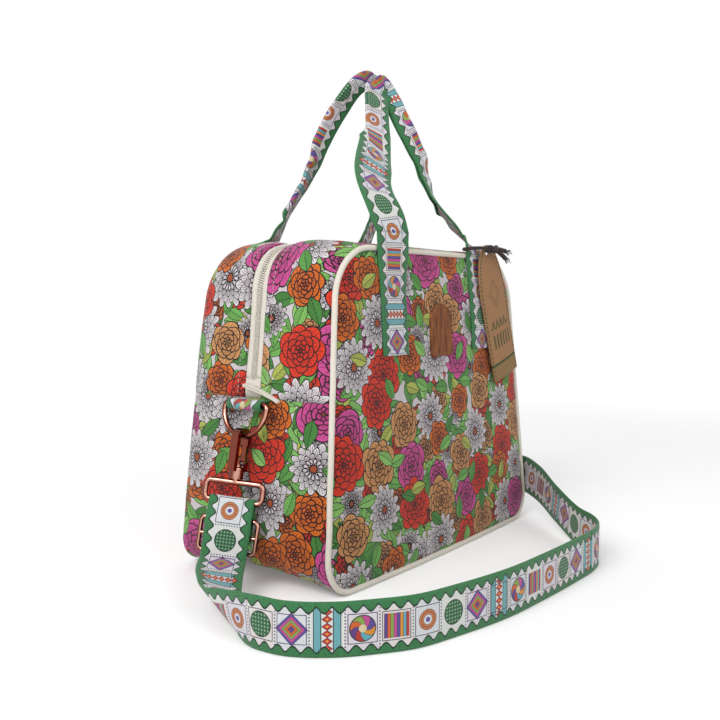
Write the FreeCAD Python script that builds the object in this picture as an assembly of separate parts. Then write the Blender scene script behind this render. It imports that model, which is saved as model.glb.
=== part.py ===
# Insulated zip-top lunch tote with two webbing carry handles and a clip-on shoulder strap.
# Millimetres. +Z is up, the front faces -Y, and the origin is the middle of the base on the ground.
import FreeCAD, Part
import math
import os
from FreeCAD import Placement, Rotation, Vector

os.makedirs("parts", exist_ok=True)

# Bag body: a box that narrows towards the top, with rounded corners seen from the front
base_width = 301.0
base_depth = 144.0
height = 240.0
side_taper = 24.5            # how far each side comes in from base to top
panel_lean = 11.0            # how far the front and rear panels come in from base to top
top_corner_radius = 45.0
bottom_corner_radius = 25.0
seam_height = 131.0          # where the zip strips are sewn to the lower gusset

# Layers of every wall, from outside to inside
fabric_thickness = 1.0
foam_thickness = 3.5
lining_thickness = 0.5
piping_diameter = 5.0
piping_proud = 1.0           # how far the piping stands out past the gusset
seam_clearance = 0.1
fold_clearance = 0.2         # between pieces that part when the mouth opens

# Zip
zip_window = 17.0            # tape that shows between the two strips
tape_width = 13.0            # one half of the tape
tape_thickness = 0.8
coil_width = 2.0
coil_height = 1.6
coil_gap = 1.1               # between the two coils, where the slider's post runs
zip_end_height = 24.0        # sewn-down end of the tape above the seam
slider_length = 11.0
slider_width = 9.0
slider_plate = 1.1
slider_post = 0.7
slider_clearance = 1.3       # slider plate over the coils
slider_rest = 25.0           # lower end of the slider above the seam
bail_wire = 1.6
bail_rise = 3.4
bail_length = 7.0
pull_length = 24.0
pull_width = 7.0
pull_thickness = 1.2
pull_clearance = 0.4

# Webbing for handles, ring tabs and shoulder strap
webbing_width = 32.0
webbing_thickness = 1.7
handle_spacing = 128.0       # between the middles of one handle's two legs
anchor_bottom = 160.0        # lower end of the stitched part, up the panel
anchor_rise = 9.0            # webbing that stands above the panel's top edge
handle_reach = 151.0         # from the top of the stitched ends to the top of the loop
handle_meet_gap = 0.8        # between the two raised loops
handle_turn_height = 58.0    # where the legs turn in
handle_turn_in = 4.0         # how far they have come in by then
handle_leg_radius = 90.0
handle_top_radius = 27.0
grip_width = 17.0            # webbing folded in half along the grip
grip_start = 62.0            # along a leg, where the fold begins
grip_full = 92.0             # along a leg, where it is fully folded
hinge_gap = 2.5              # where a loop begins above its stitched ends

# Patch and hang tag
patch_width = 32.0
patch_height = 41.0
patch_bottom = 157.0
patch_thickness = 1.6
tag_width = 44.0
tag_length = 116.0
tag_arch = 46.0              # height of the rounded top
tag_thickness = 1.5
tag_hole_radius = 3.2
tag_hole_inset = 5.5
tag_stand_off = 4.2          # from the front of the webbing to the back of the card
tag_offset = 8.0             # hole from the middle of the webbing
tag_tilt = 11.0              # degrees, lower end towards +X
tag_hang_gap = 0.45          # cord to the upper edge of the hole
cord_diameter = 2.4
cord_clearance = 0.4
cord_rise = 3.0              # cord above the panel's top edge
knot_length = 9.0
knot_diameter = 6.4
knot_tail = 11.0
knot_stand_off = 2.0         # between the card and the knot, so the card can swing

# Rings, snap hooks and strap adjuster
ring_wire = 3.8
ring_clearance = 0.6         # between webbing edge and wire, each side
ring_leg = 3.0
ring_corner = 3.2
tab_stand_off = 14.0         # ring bar from the seam, past the swell of the padded side
tab_clearance = 0.3
hang_angle = 12.0            # ring and hook lean out from the vertical
left_swivel = -30.0          # eye turned towards the front on the left
right_swivel = 0.0
hook_bar = 2.9
hook_window = 7.4
hook_window_length = 24.0
hook_breadth = 6.5
hook_nose = 5.0
hook_clearance = 0.8
collar_diameter = 10.0
collar_length = 8.0
post_diameter = 4.4
post_clearance = 0.15
post_head_diameter = 6.4
post_head = 1.5
gate_bar = 2.4
gate_breadth = 4.0
gate_clearance = 0.25
gate_pin_diameter = 1.6
gate_pin_rise = 2.2          # pin above the collar
ear_rise = 4.4               # ears that hold the pin, above the collar
spring_wire = 0.5
spring_coils = 3
eye_wire = 4.0
eye_height = 9.0             # clear height inside the eye
eye_corner = 3.6
eye_gap = 0.6                # between collar and eye
loop_clearance = 0.3
adjuster_wire = 3.2
adjuster_slot = 8.0
adjuster_drop = 23.5         # eye's lower bar to the adjuster's middle bar
adjuster_corner = 3.4
strap_tail = 9.0             # sewn end past the adjuster's middle bar
loop_tail = 15.0             # strap past the adjuster's middle bar before the free strap
sewn_loop_length = 24.0      # right-hand end, sewn back on itself
ply_gap = 0.4                # between two plies of webbing that lie together
strap_gap = 0.4              # between the looped ends and the free strap

# Free strap on the floor, left to right: middle of the webbing, and where its upper edge points
strap_route = [
    ((-189.0, -15.0, 15.0), (-0.44, 0.80, 0.30)),
    ((-207.0, -34.0, 13.5), (-0.24, 0.60, 0.72)),
    ((-223.0, -55.0, 15.0), (-0.04, 0.28, 0.95)),
    ((-230.0, -78.0, 16.2), (0.0, 0.06, 1.0)),
    ((-226.0, -102.0, 16.2), (0.0, 0.0, 1.0)),
    ((-212.0, -126.0, 16.2), (0.0, 0.0, 1.0)),
    ((-174.0, -156.0, 16.2), (0.0, 0.0, 1.0)),
    ((-101.0, -177.0, 16.2), (0.0, 0.0, 1.0)),
    ((-20.0, -184.0, 16.2), (0.0, 0.0, 1.0)),
    ((36.0, -183.0, 16.2), (0.0, 0.0, 1.0)),
    ((57.0, -173.0, 16.2), (0.0, 0.0, 1.0)),
    ((72.0, -153.0, 17.0), (0.0, 0.0, 1.0)),
    ((103.0, -121.0, 22.0), (0.0, 0.0, 1.0)),
    ((148.0, -81.0, 31.0), (0.0, -0.10, 1.0)),
    ((161.0, -55.0, 35.0), (0.0, -0.30, 0.95)),
    ((165.0, -28.0, 33.0), (0.0, -0.62, 0.78)),
]
route_steps = 3              # sections between two points of the route

# Worked out from the sizes above
wall = fabric_thickness + foam_thickness + lining_thickness
seam_depth = max(wall, piping_diameter)
panel_front = seam_depth - wall
side_slope = side_taper / height
panel_slope = panel_lean / height
side_angle = math.degrees(math.atan(side_slope))
lean_angle = math.degrees(math.atan2(panel_lean, height))
panel_height = height / math.cos(math.radians(lean_angle))
tape_edge = coil_gap / 2.0 + tape_width
far = 4.0 * (base_width + base_depth + height)
across = Vector(0.0, 1.0, 0.0)


def rounded_wire(corners, radii, closed=True):
    # Straight runs joined by tangent arcs at the corners
    count = len(corners)
    ends = []
    for i, corner in enumerate(corners):
        if not closed and i in (0, count - 1):
            ends.append((corner, None, corner))
            continue
        into = (corners[i - 1] - corner).normalize()
        out = (corners[(i + 1) % count] - corner).normalize()
        half = into.getAngle(out) / 2.0
        back = radii[i] / math.tan(half)
        middle = (into + out).normalize()
        crown = corner + middle * (radii[i] / math.sin(half) - radii[i])
        ends.append((corner + into * back, crown, corner + out * back))
    edges = []
    for i, (start, crown, end) in enumerate(ends):
        if crown is not None:
            edges.append(Part.Arc(start, crown, end).toShape())
        if i + 1 < count or closed:
            following = ends[(i + 1) % count][0]
            if end.distanceToPoint(following) > 1e-6:
                edges.append(Part.makeLine(end, following))
    return Part.Wire(edges)


def strip(points, radii, thickness, breadth):
    # Bent strip of even thickness: points run along its middle in the plane y = 0
    sides = []
    for shift in (thickness / 2.0, -thickness / 2.0):
        corners = []
        bends = []
        for i, point in enumerate(points):
            before = points[i] - points[i - 1] if i else points[1] - points[0]
            after = points[i + 1] - points[i] if i + 1 < len(points) else before
            before.normalize()
            after.normalize()
            side = across.cross(before) + across.cross(after)
            side.normalize()
            corners.append(point + side * (shift / side.dot(across.cross(after))))
            turn = before.cross(after).dot(across)
            bends.append(radii[i] - math.copysign(shift, turn * shift))
        sides.append(rounded_wire(corners, bends, closed=False))
    edges = sides[0].Edges + sides[1].Edges
    for k in (0, -1):
        edges.append(Part.makeLine(sides[0].OrderedVertexes[k].Point, sides[1].OrderedVertexes[k].Point))
    face = Part.Face(Part.Wire(Part.__sortEdges__(edges)))
    solid = face.extrude(across * breadth)
    solid.translate(across * (-breadth / 2.0))
    return solid


def wire_form(path, diameter):
    # Round wire or cord along a path
    edge = path.OrderedEdges[0]
    start = path.OrderedVertexes[0].Point
    first = edge.valueAt(edge.FirstParameter)
    at = edge.FirstParameter if first.distanceToPoint(start) < 1e-6 else edge.LastParameter
    section = Part.Wire(Part.makeCircle(diameter / 2.0, start, edge.tangentAt(at)))
    return path.makePipeShell([section], True, False)


def box_between(low, high):
    return Part.makeBox(high[0] - low[0], high[1] - low[1], high[2] - low[2], Vector(*low))


def placed(shape, placement):
    moved = shape.copy()
    moved.Placement = placement.multiply(moved.Placement)
    return moved


def on_front(shape):
    # From panel coordinates (x, depth behind the outer face, height up the panel) to the bag
    return placed(shape, Placement(Vector(0, -base_depth / 2.0, 0), Rotation(Vector(1, 0, 0), -lean_angle)))


def to_rear(shape):
    return shape.mirror(Vector(0, 0, 0), across)


def to_left(shape):
    return shape.mirror(Vector(0, 0, 0), Vector(1, 0, 0))


def above(shape, z=seam_height):
    return shape.common(box_between((-far, -far, z), (far, far, far)))


def below(shape, z=seam_height):
    return shape.common(box_between((-far, -far, -far), (far, far, z)))


def front_of(shape, y):
    return shape.common(box_between((-far, -far, -far), (far, y, far)))


def outline(inset, tall, floor):
    # Front outline of the bag, set in from the outer edge of the piping
    def reach(z):
        return base_width / 2.0 - side_slope * z - inset * math.hypot(1.0, side_slope)

    top = tall - inset
    corners = [Vector(reach(floor), 0, floor), Vector(reach(top), 0, top)]
    corners += [Vector(-reach(top), 0, top), Vector(-reach(floor), 0, floor)]
    low = bottom_corner_radius - inset
    high = top_corner_radius - inset
    return rounded_wire(corners, [low, high, high, low])


def gusset_layer(outer, inner):
    # Layer of the gusset all the way round, between the backs of the two panels
    outside = Part.Face(outline(outer, height, outer - piping_proud))
    inside = Part.Face(outline(inner, height, inner - piping_proud))
    tube = outside.cut(inside).extrude(across * base_depth)
    tube.translate(across * (-base_depth / 2.0))
    back = (seam_depth + seam_clearance) / math.cos(math.radians(lean_angle))
    low = back - base_depth / 2.0 - panel_slope * height
    high = back - base_depth / 2.0 + 2.0 * panel_slope * height
    corners = [(low, -height), (high, 2.0 * height), (-high, 2.0 * height), (-low, -height), (low, -height)]
    profile = Part.Face(Part.makePolygon([Vector(-far / 2.0, y, z) for y, z in corners]))
    return tube.common(profile.extrude(Vector(far, 0, 0)))



def panel_layer(depth, thickness):
    inset = piping_diameter + seam_clearance
    solid = Part.Face(outline(inset, panel_height, inset)).extrude(across * thickness)
    solid.translate(across * depth)
    return on_front(solid)


def piping():
    radius = piping_diameter / 2.0
    path = outline(radius, panel_height, radius)
    path.translate(across * radius)
    return on_front(wire_form(path, piping_diameter))


def anchor(x):
    # Stitched end of a handle, standing a little above the bag's top edge
    low = anchor_bottom / math.cos(math.radians(lean_angle))
    return box_between((x - webbing_width / 2.0, -webbing_thickness, low),
                       (x + webbing_width / 2.0, 0.0, panel_height + anchor_rise))


def handle_place():
    # Lower end of the front loop, and its lean towards the other loop
    lean = math.radians(lean_angle)
    up = panel_height + anchor_rise
    y = -base_depth / 2.0 - webbing_thickness * math.cos(lean) + up * math.sin(lean)
    z = up * math.cos(lean) + webbing_thickness * math.sin(lean)
    thick = 2.0 * webbing_thickness + ply_gap
    gap = -handle_meet_gap / 2.0 - y
    angle = math.asin(gap / math.hypot(handle_reach, thick)) - math.atan2(thick, handle_reach)
    return Placement(Vector(0, y, z), Rotation(Vector(1, 0, 0), -math.degrees(angle)))


def handle_loop():
    # Flat webbing at the legs that folds in half towards the grip
    side = handle_spacing / 2.0
    crown = handle_reach - grip_width / 2.0
    turn = Vector(side - handle_turn_in, 0, handle_turn_height)
    slant = math.atan2(turn.x, 1.0)
    for _ in range(30):
        peak = crown + handle_top_radius / math.sin(slant) - handle_top_radius
        slant = math.atan2(turn.x, peak - turn.z)
    corners = [Vector(side, 0, hinge_gap), turn, Vector(0, 0, peak)]
    corners += [Vector(-turn.x, 0, turn.z), Vector(-side, 0, hinge_gap)]
    path = rounded_wire(corners, [0, handle_leg_radius, handle_top_radius, handle_leg_radius, 0], closed=False)
    length = path.Length

    def half(s):
        reach = min(s, length - s)
        blend = min(1.0, max(0.0, (reach - grip_start) / (grip_full - grip_start)))
        blend = blend * blend * (3.0 - 2.0 * blend)
        return (webbing_width + (grip_width - webbing_width) * blend) / 2.0

    def ply(start, end, near, trim):
        edges = []
        count = 28
        for sign in (1.0, -1.0):
            points = []
            for k in range(count + 1):
                s = start + (end - start) * k / count
                point, tangent = at_length(path, s)
                points.append(point + across.cross(tangent) * (sign * (half(s) - trim)))
            curve = Part.BSplineCurve()
            curve.interpolate(points)
            edges.append(curve.toShape())
        caps = [Part.makeLine(edges[0].valueAt(e), edges[1].valueAt(f))
                for e, f in ((edges[0].FirstParameter, edges[1].FirstParameter),
                             (edges[0].LastParameter, edges[1].LastParameter))]
        face = Part.Face(Part.Wire(Part.__sortEdges__(edges + caps)))
        solid = face.extrude(across * (webbing_thickness + (0.0 if near == 0.0 else ply_gap)))
        solid.translate(across * near)
        return solid

    front = ply(0.0, length, 0.0, 0.0)
    fold = ply(grip_full - 8.0, length - grip_full + 8.0, webbing_thickness, 0.3)
    return placed(front.fuse(fold), handle_place())


def at_length(path, s):
    # Point and direction at a distance along a path
    for k, edge in enumerate(path.OrderedEdges):
        last = k + 1 == len(path.OrderedEdges)
        if s <= edge.Length or last:
            start = path.OrderedVertexes[k].Point
            ahead = edge.valueAt(edge.FirstParameter).distanceToPoint(start) < 1e-6
            along = min(s, edge.Length)
            at = edge.getParameterByLength(along if ahead else edge.Length - along)
            return edge.valueAt(at), edge.tangentAt(at) * (1.0 if ahead else -1.0)
        s -= edge.Length


def patch():
    # Flat-bottomed shield with a round top
    half = patch_width / 2.0
    spring = patch_height - half
    low = Vector(-half, -patch_thickness, patch_bottom)
    edges = [
        Part.makeLine(low + Vector(0, 0, spring), low),
        Part.makeLine(low, low + Vector(patch_width, 0, 0)),
        Part.makeLine(low + Vector(patch_width, 0, 0), low + Vector(patch_width, 0, spring)),
        Part.Arc(low + Vector(patch_width, 0, spring), low + Vector(half, 0, patch_height),
                 low + Vector(0, 0, spring)).toShape(),
    ]
    solid = Part.Face(Part.Wire(edges)).extrude(across * (patch_thickness + panel_front))
    return on_front(solid)


tag_x = handle_spacing / 2.0 + tag_offset
cord_height = panel_height + cord_rise
tag_back = -webbing_thickness - tag_stand_off
knot_depth = tag_back - tag_thickness - knot_stand_off - knot_diameter / 2.0


def hang_tag():
    half = tag_width / 2.0
    top = tag_hole_inset
    spring = top - tag_arch
    foot = top - tag_length

    def curve(*poles):
        bezier = Part.BezierCurve()
        bezier.setPoles([Vector(x, 0, z) for x, z in poles])
        return bezier.toShape()

    edges = [
        curve((-half, spring), (-half, spring + 0.62 * tag_arch), (-0.55 * half, top), (0, top)),
        curve((0, top), (0.55 * half, top), (half, spring + 0.62 * tag_arch), (half, spring)),
        Part.makeLine(Vector(half, 0, spring), Vector(half, 0, foot)),
        Part.makeLine(Vector(half, 0, foot), Vector(-half, 0, foot)),
        Part.makeLine(Vector(-half, 0, foot), Vector(-half, 0, spring)),
    ]
    card = Part.Face(Part.Wire(edges)).extrude(across * tag_thickness)
    card = card.cut(Part.makeCylinder(tag_hole_radius, far, Vector(0, -far / 2.0, 0), across))
    card.translate(across * (tag_back - tag_thickness))
    hang = tag_hole_radius - cord_diameter / 2.0 - tag_hang_gap
    hole = Vector(tag_x, 0, cord_height - hang)
    return on_front(placed(card, Placement(hole, Rotation(across, -tag_tilt))))


def tag_cord():
    # From the knot through the card, round the webbing and back to the knot
    radius = cord_diameter / 2.0
    side = webbing_width / 2.0 + cord_clearance + radius
    middle = handle_spacing / 2.0
    near = -webbing_thickness - cord_clearance - radius
    behind = cord_clearance + radius
    corners = [
        (tag_x, knot_depth + knot_diameter / 2.0),
        (tag_x, near),
        (middle + side, near),
        (middle + side, behind),
        (middle - side, behind),
        (middle - side, knot_depth),
        (tag_x - knot_length / 2.0, knot_depth),
    ]
    bend = min(cord_diameter, (behind - near) / 2.0)
    path = rounded_wire([Vector(x, y, cord_height) for x, y in corners], [bend] * len(corners), closed=False)
    return on_front(wire_form(path, cord_diameter))


def tag_knot():
    # Round knot with two cut ends
    radius = knot_diameter / 2.0
    start = Vector(tag_x - knot_length / 2.0, knot_depth, cord_height)
    knot = Part.makeCylinder(radius, knot_length, start, Vector(1, 0, 0))
    knot = knot.makeFillet(radius * 0.45, [edge for edge in knot.Edges if len(edge.Vertexes) == 1])
    end = Vector(tag_x + knot_length / 2.0 - 1.0, knot_depth, cord_height)
    for drop, out in ((-0.45, -0.45), (0.1, -0.7)):
        way = Vector(1.0, out, drop).normalize()
        knot = knot.fuse(Part.makeCylinder(cord_diameter / 2.0, knot_tail, end, way))
    return on_front(knot)


def side_place():
    # Right-hand side at the seam: x out of the wall, z up the wall
    reach = base_width / 2.0 - side_slope * seam_height - piping_proud * math.hypot(1.0, side_slope)
    return Placement(Vector(reach, 0, seam_height), Rotation(across, -side_angle))


tab_radius = ring_wire / 2.0 + tab_clearance + webbing_thickness / 2.0
tab_bar_drop = tab_radius + webbing_thickness / 2.0


def ring_tab():
    # Webbing folded round the ring's bar and caught in the seam
    end = tab_stand_off + tab_radius
    top = tab_radius - tab_bar_drop
    low = -tab_radius - tab_bar_drop
    points = [Vector(0, 0, top), Vector(end, 0, top), Vector(end, 0, low), Vector(0, 0, low)]
    return placed(strip(points, [0, tab_radius, tab_radius, 0], webbing_thickness, webbing_width), side_place())


def zip_end():
    # Sewn-down end of the two tapes
    low = (-fabric_thickness - tape_thickness, -tape_edge, fold_clearance)
    high = (-fabric_thickness, tape_edge, zip_end_height)
    return placed(box_between(low, high), side_place())


def zip_half(outer, inner, near, beyond):
    # Front half of a layer over the top, between two distances from the zip's middle
    layer = above(gusset_layer(outer, inner))
    layer = front_of(layer, -near)
    return layer.cut(front_of(layer, -beyond)) if beyond else layer


def over_ends(shape):
    # Leaves out the stretch that belongs to the sewn-down ends
    end = side_place()
    reach = Vector(0, 0, zip_end_height + fold_clearance)
    corner = end.multVec(reach)
    return above(shape, corner.z)


slider_low = -fabric_thickness - tape_thickness - 0.3
slider_high = coil_height - fabric_thickness + slider_clearance


def zip_slider():
    half = slider_width / 2.0
    top = slider_rest + slider_length
    corners = [Vector(0, -half, slider_rest), Vector(0, half, slider_rest), Vector(0, half * 0.75, top)]
    corners += [Vector(0, -half * 0.75, top)]
    plate = Part.Face(rounded_wire(corners, [1.5] * 4))
    body = plate.extrude(Vector(slider_plate, 0, 0))
    inner = body.copy()
    body.translate(Vector(slider_high, 0, 0))
    inner.translate(Vector(slider_low - slider_plate, 0, 0))
    post = box_between((slider_low, -slider_post / 2.0, top - 4.0), (slider_high, slider_post / 2.0, top - 1.0))
    body = body.fuse([inner, post, bail()])
    return placed(body, side_place())


def bail():
    # Wire bridge that holds the pull
    face = slider_high + slider_plate
    middle = slider_rest + slider_length / 2.0
    half = bail_length / 2.0 - bail_wire / 2.0
    out = face + bail_rise
    points = [Vector(face - 0.4, 0, middle - half), Vector(out, 0, middle - half)]
    points += [Vector(out, 0, middle + half), Vector(face - 0.4, 0, middle + half)]
    bend = bail_wire * 1.1
    return wire_form(rounded_wire(points, [0, bend, bend, 0], closed=False), bail_wire)


def pull_pivot():
    # Cross-bar of the pull, under the bail and just above its lower leg
    leg = slider_rest + slider_length / 2.0 - bail_length / 2.0 + bail_wire / 2.0
    out = slider_high + slider_plate + (bail_rise - bail_wire / 2.0) / 2.0
    return Vector(out, 0, leg + bail_wire / 2.0 + pull_clearance + pull_thickness / 2.0)


def zip_pull():
    # Flat pull that straddles the bail and hangs from its own cross-bar
    pivot = pull_pivot()
    half = pull_width / 2.0
    slot = bail_wire / 2.0 + pull_clearance
    below_bar = bail_wire + pull_clearance + pull_thickness
    reach = math.hypot(pivot.x - slider_high - slider_plate + bail_wire / 2.0, below_bar)
    foot = pivot.z - pull_length
    corners = [Vector(0, -half * 0.8, pivot.z), Vector(0, half * 0.8, pivot.z), Vector(0, half, foot)]
    corners += [Vector(0, -half, foot)]
    plate = Part.Face(rounded_wire(corners, [0.3, 0.3, 3.0, 3.0])).extrude(Vector(pull_thickness, 0, 0))
    plate = plate.cut(box_between((-far, -slot, pivot.z - reach - pull_clearance), (far, slot, pivot.z)))
    plate.translate(Vector(pivot.x - pull_thickness / 2.0, 0, 0))
    bar = Part.makeCylinder(pull_thickness / 2.0, pull_width * 0.8, pivot - across * (half * 0.8), across)
    return placed(plate.fuse(bar), side_place())


# Ring and hook, drawn hanging straight down from the ring's bar: x out of the bag, y along the bar
ring_half = webbing_width / 2.0 + ring_clearance + ring_corner
wire_low = -(ring_leg + ring_half)
bow_top = wire_low + ring_wire / 2.0 + hook_clearance
bow_middle = bow_top - hook_window / 2.0
collar_top = bow_top - hook_window_length
eye_top = collar_top - collar_length - eye_gap - eye_wire / 2.0
eye_low = eye_top - eye_height - eye_wire
eye_half = webbing_width / 2.0 + ring_clearance + eye_corner
loop_radius = eye_wire / 2.0 + loop_clearance + webbing_thickness / 2.0
adjuster_bar = eye_low - adjuster_drop


def hang_place():
    bar = side_place().multVec(Vector(tab_stand_off, 0, -tab_bar_drop))
    return Placement(bar, Rotation(across, -hang_angle))


def d_ring():
    corners = [Vector(0, -ring_half, 0), Vector(0, ring_half, 0)]
    corners += [Vector(0, ring_half, wire_low), Vector(0, -ring_half, wire_low)]
    path = rounded_wire(corners, [ring_corner, ring_corner, ring_half, ring_half])
    return placed(wire_form(path, ring_wire), hang_place())


def hook_body():
    half = hook_window / 2.0
    outer = half + hook_bar
    foot = collar_top - 3.0
    nose = bow_middle - hook_nose
    edges = [
        Part.makeLine(Vector(outer, 0, foot), Vector(outer, 0, bow_middle)),
        Part.Arc(Vector(outer, 0, bow_middle), Vector(0, 0, bow_middle + outer),
                 Vector(-outer, 0, bow_middle)).toShape(),
        Part.makeLine(Vector(-outer, 0, bow_middle), Vector(-outer, 0, nose)),
        Part.makeLine(Vector(-outer, 0, nose), Vector(-half, 0, nose)),
        Part.makeLine(Vector(-half, 0, nose), Vector(-half, 0, bow_middle)),
        Part.Arc(Vector(-half, 0, bow_middle), Vector(0, 0, bow_top), Vector(half, 0, bow_middle)).toShape(),
        Part.makeLine(Vector(half, 0, bow_middle), Vector(half, 0, foot)),
        Part.makeLine(Vector(half, 0, foot), Vector(outer, 0, foot)),
    ]
    bow = Part.Face(Part.Wire(edges)).extrude(across * hook_breadth)
    bow.translate(across * (-hook_breadth / 2.0))
    collar = Part.makeCylinder(collar_diameter / 2.0, collar_length, Vector(0, 0, collar_top - collar_length))
    rim = collar_diameter * 0.12
    collar = collar.makeFillet(rim, [edge for edge in collar.Edges if len(edge.Vertexes) == 1][:1])
    ears = box_between((-outer, -hook_breadth / 2.0, foot),
                       (-half + 0.2, hook_breadth / 2.0, collar_top + ear_rise))
    slot = gate_breadth / 2.0 + gate_clearance
    body = bow.fuse([collar, ears])
    body = body.cut(box_between((-far, -slot, collar_top), (-half + 0.3, slot, collar_top + ear_rise + 1.0)))
    bore = post_diameter / 2.0 + post_clearance
    body = body.cut(Part.makeCylinder(bore, far, Vector(0, 0, collar_top - far / 2.0)))
    return body.fuse(gate_pin())


def gate_place():
    # Middle of the gate's pin
    return Vector(-hook_window / 2.0 - hook_bar / 2.0, 0, collar_top + gate_pin_rise)


def gate_pin():
    # Riveted through both ears
    start = gate_place() - across * (hook_breadth / 2.0 + 0.4)
    return Part.makeCylinder(gate_pin_diameter / 2.0, hook_breadth + 0.8, start, across)


def hook_gate():
    pin = gate_place()
    breadth = gate_breadth / 2.0
    left = -hook_window / 2.0 - hook_bar
    top = bow_middle - hook_nose - gate_clearance
    bar = box_between((left, -breadth, pin.z), (left + gate_bar, breadth, top))
    root_radius = min(gate_pin_rise - 0.3, gate_bar * 0.8)
    root = Part.makeCylinder(root_radius, gate_breadth, pin - across * breadth, across)
    thumb = Part.makeCylinder(1.1, gate_breadth, Vector(left + 0.2, -breadth, top - 4.0), across)
    gate = bar.fuse([root, thumb])
    bore = gate_pin_diameter / 2.0 + gate_clearance
    gate = gate.cut(Part.makeCylinder(bore, far, pin - across * (far / 2.0), across))
    room = spring_coils * spring_wire * 1.5 / 2.0 + 0.3
    hollow = Part.makeCylinder(root_radius + 0.6, 2.0 * room, pin - across * room, across)
    return gate.cut(hollow)


def gate_spring():
    # Small coil round the pin, in the gap in the middle of the gate
    radius = gate_pin_diameter / 2.0 + spring_wire / 2.0 + 0.12
    pitch = spring_wire * 1.5
    length = spring_coils * pitch
    helix = Part.makeHelix(pitch, length, radius)
    section = Part.Wire(Part.makeCircle(spring_wire / 2.0, Vector(radius, 0, 0), across))
    coil = Part.Wire(helix).makePipeShell([section], True, True)
    turned = placed(coil, Placement(Vector(0, 0, 0), Rotation(Vector(1, 0, 0), -90)))
    turned.translate(gate_place() - across * (length / 2.0))
    return turned


def eye():
    corners = [Vector(0, -eye_half, eye_top), Vector(0, eye_half, eye_top)]
    corners += [Vector(0, eye_half, eye_low), Vector(0, -eye_half, eye_low)]
    ring = wire_form(rounded_wire(corners, [eye_corner] * 4), eye_wire)
    post_length = collar_top + post_clearance - eye_top + 0.2
    post = Part.makeCylinder(post_diameter / 2.0, post_length, Vector(0, 0, eye_top))
    head = Part.makeCylinder(post_head_diameter / 2.0, post_head, Vector(0, 0, collar_top + post_clearance))
    return ring.fuse([post, head])


def adjuster():
    # Flat frame with a middle bar
    half = webbing_width / 2.0 + ring_clearance + adjuster_corner
    reach = adjuster_slot + adjuster_wire
    corners = [Vector(0, -half, adjuster_bar + reach), Vector(0, half, adjuster_bar + reach)]
    corners += [Vector(0, half, adjuster_bar - reach), Vector(0, -half, adjuster_bar - reach)]
    frame = wire_form(rounded_wire(corners, [adjuster_corner] * 4), adjuster_wire)
    bar = Part.makeCylinder(adjuster_wire * 0.45, 2.0 * half, Vector(0, -half, adjuster_bar), across)
    return frame.fuse(bar)


outer_ply = loop_radius + webbing_thickness + ply_gap
left_end = (outer_ply, adjuster_bar - loop_tail)
right_end = ((webbing_thickness + ply_gap) / 2.0, eye_low - sewn_loop_length)


def adjusted_loop():
    # Sewn round the adjuster's middle bar, up round the eye and down over the adjuster
    r = loop_radius
    points = [
        (r, adjuster_bar + strap_tail), (r, adjuster_bar - r), (-r, adjuster_bar - r),
        (-r, eye_low + r), (r, eye_low + r), (r, eye_low - 3.0), (outer_ply, eye_low - 11.0), left_end,
    ]
    bends = [0, r, r, r, r, 9.0, 9.0, 0]
    return strip([Vector(x, 0, z) for x, z in points], bends, webbing_thickness, webbing_width)


def sewn_loop():
    # Round the eye and sewn flat on itself
    r = loop_radius
    x, foot = right_end
    points = [
        (-x, foot + 2.0), (-x, eye_low - 11.0), (-r, eye_low - 3.0), (-r, eye_low + r),
        (r, eye_low + r), (r, eye_low - 3.0), (x, eye_low - 11.0), (x, foot),
    ]
    bends = [0, 9.0, 9.0, r, r, 9.0, 9.0, 0]
    return strip([Vector(a, 0, z) for a, z in points], bends, webbing_thickness, webbing_width)


def swivelled(shape, angle):
    return placed(placed(shape, Placement(Vector(0, 0, 0), Rotation(Vector(0, 0, 1), angle))), hang_place())


def strap_end(end, angle, left):
    # Where the free strap meets a looped end: middle of the webbing, its upper edge, and which way it leaves
    turn = hang_place().multiply(Placement(Vector(0, 0, 0), Rotation(Vector(0, 0, 1), angle)))
    point = turn.multVec(Vector(end[0], 0, end[1] - strap_gap))
    edge = turn.Rotation.multVec(Vector(0, 1 if left else -1, 0))
    down = turn.Rotation.multVec(Vector(0, 0, -1))
    if left:
        point.x, edge.x, down.x = -point.x, -edge.x, -down.x
    return point, edge, down


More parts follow.
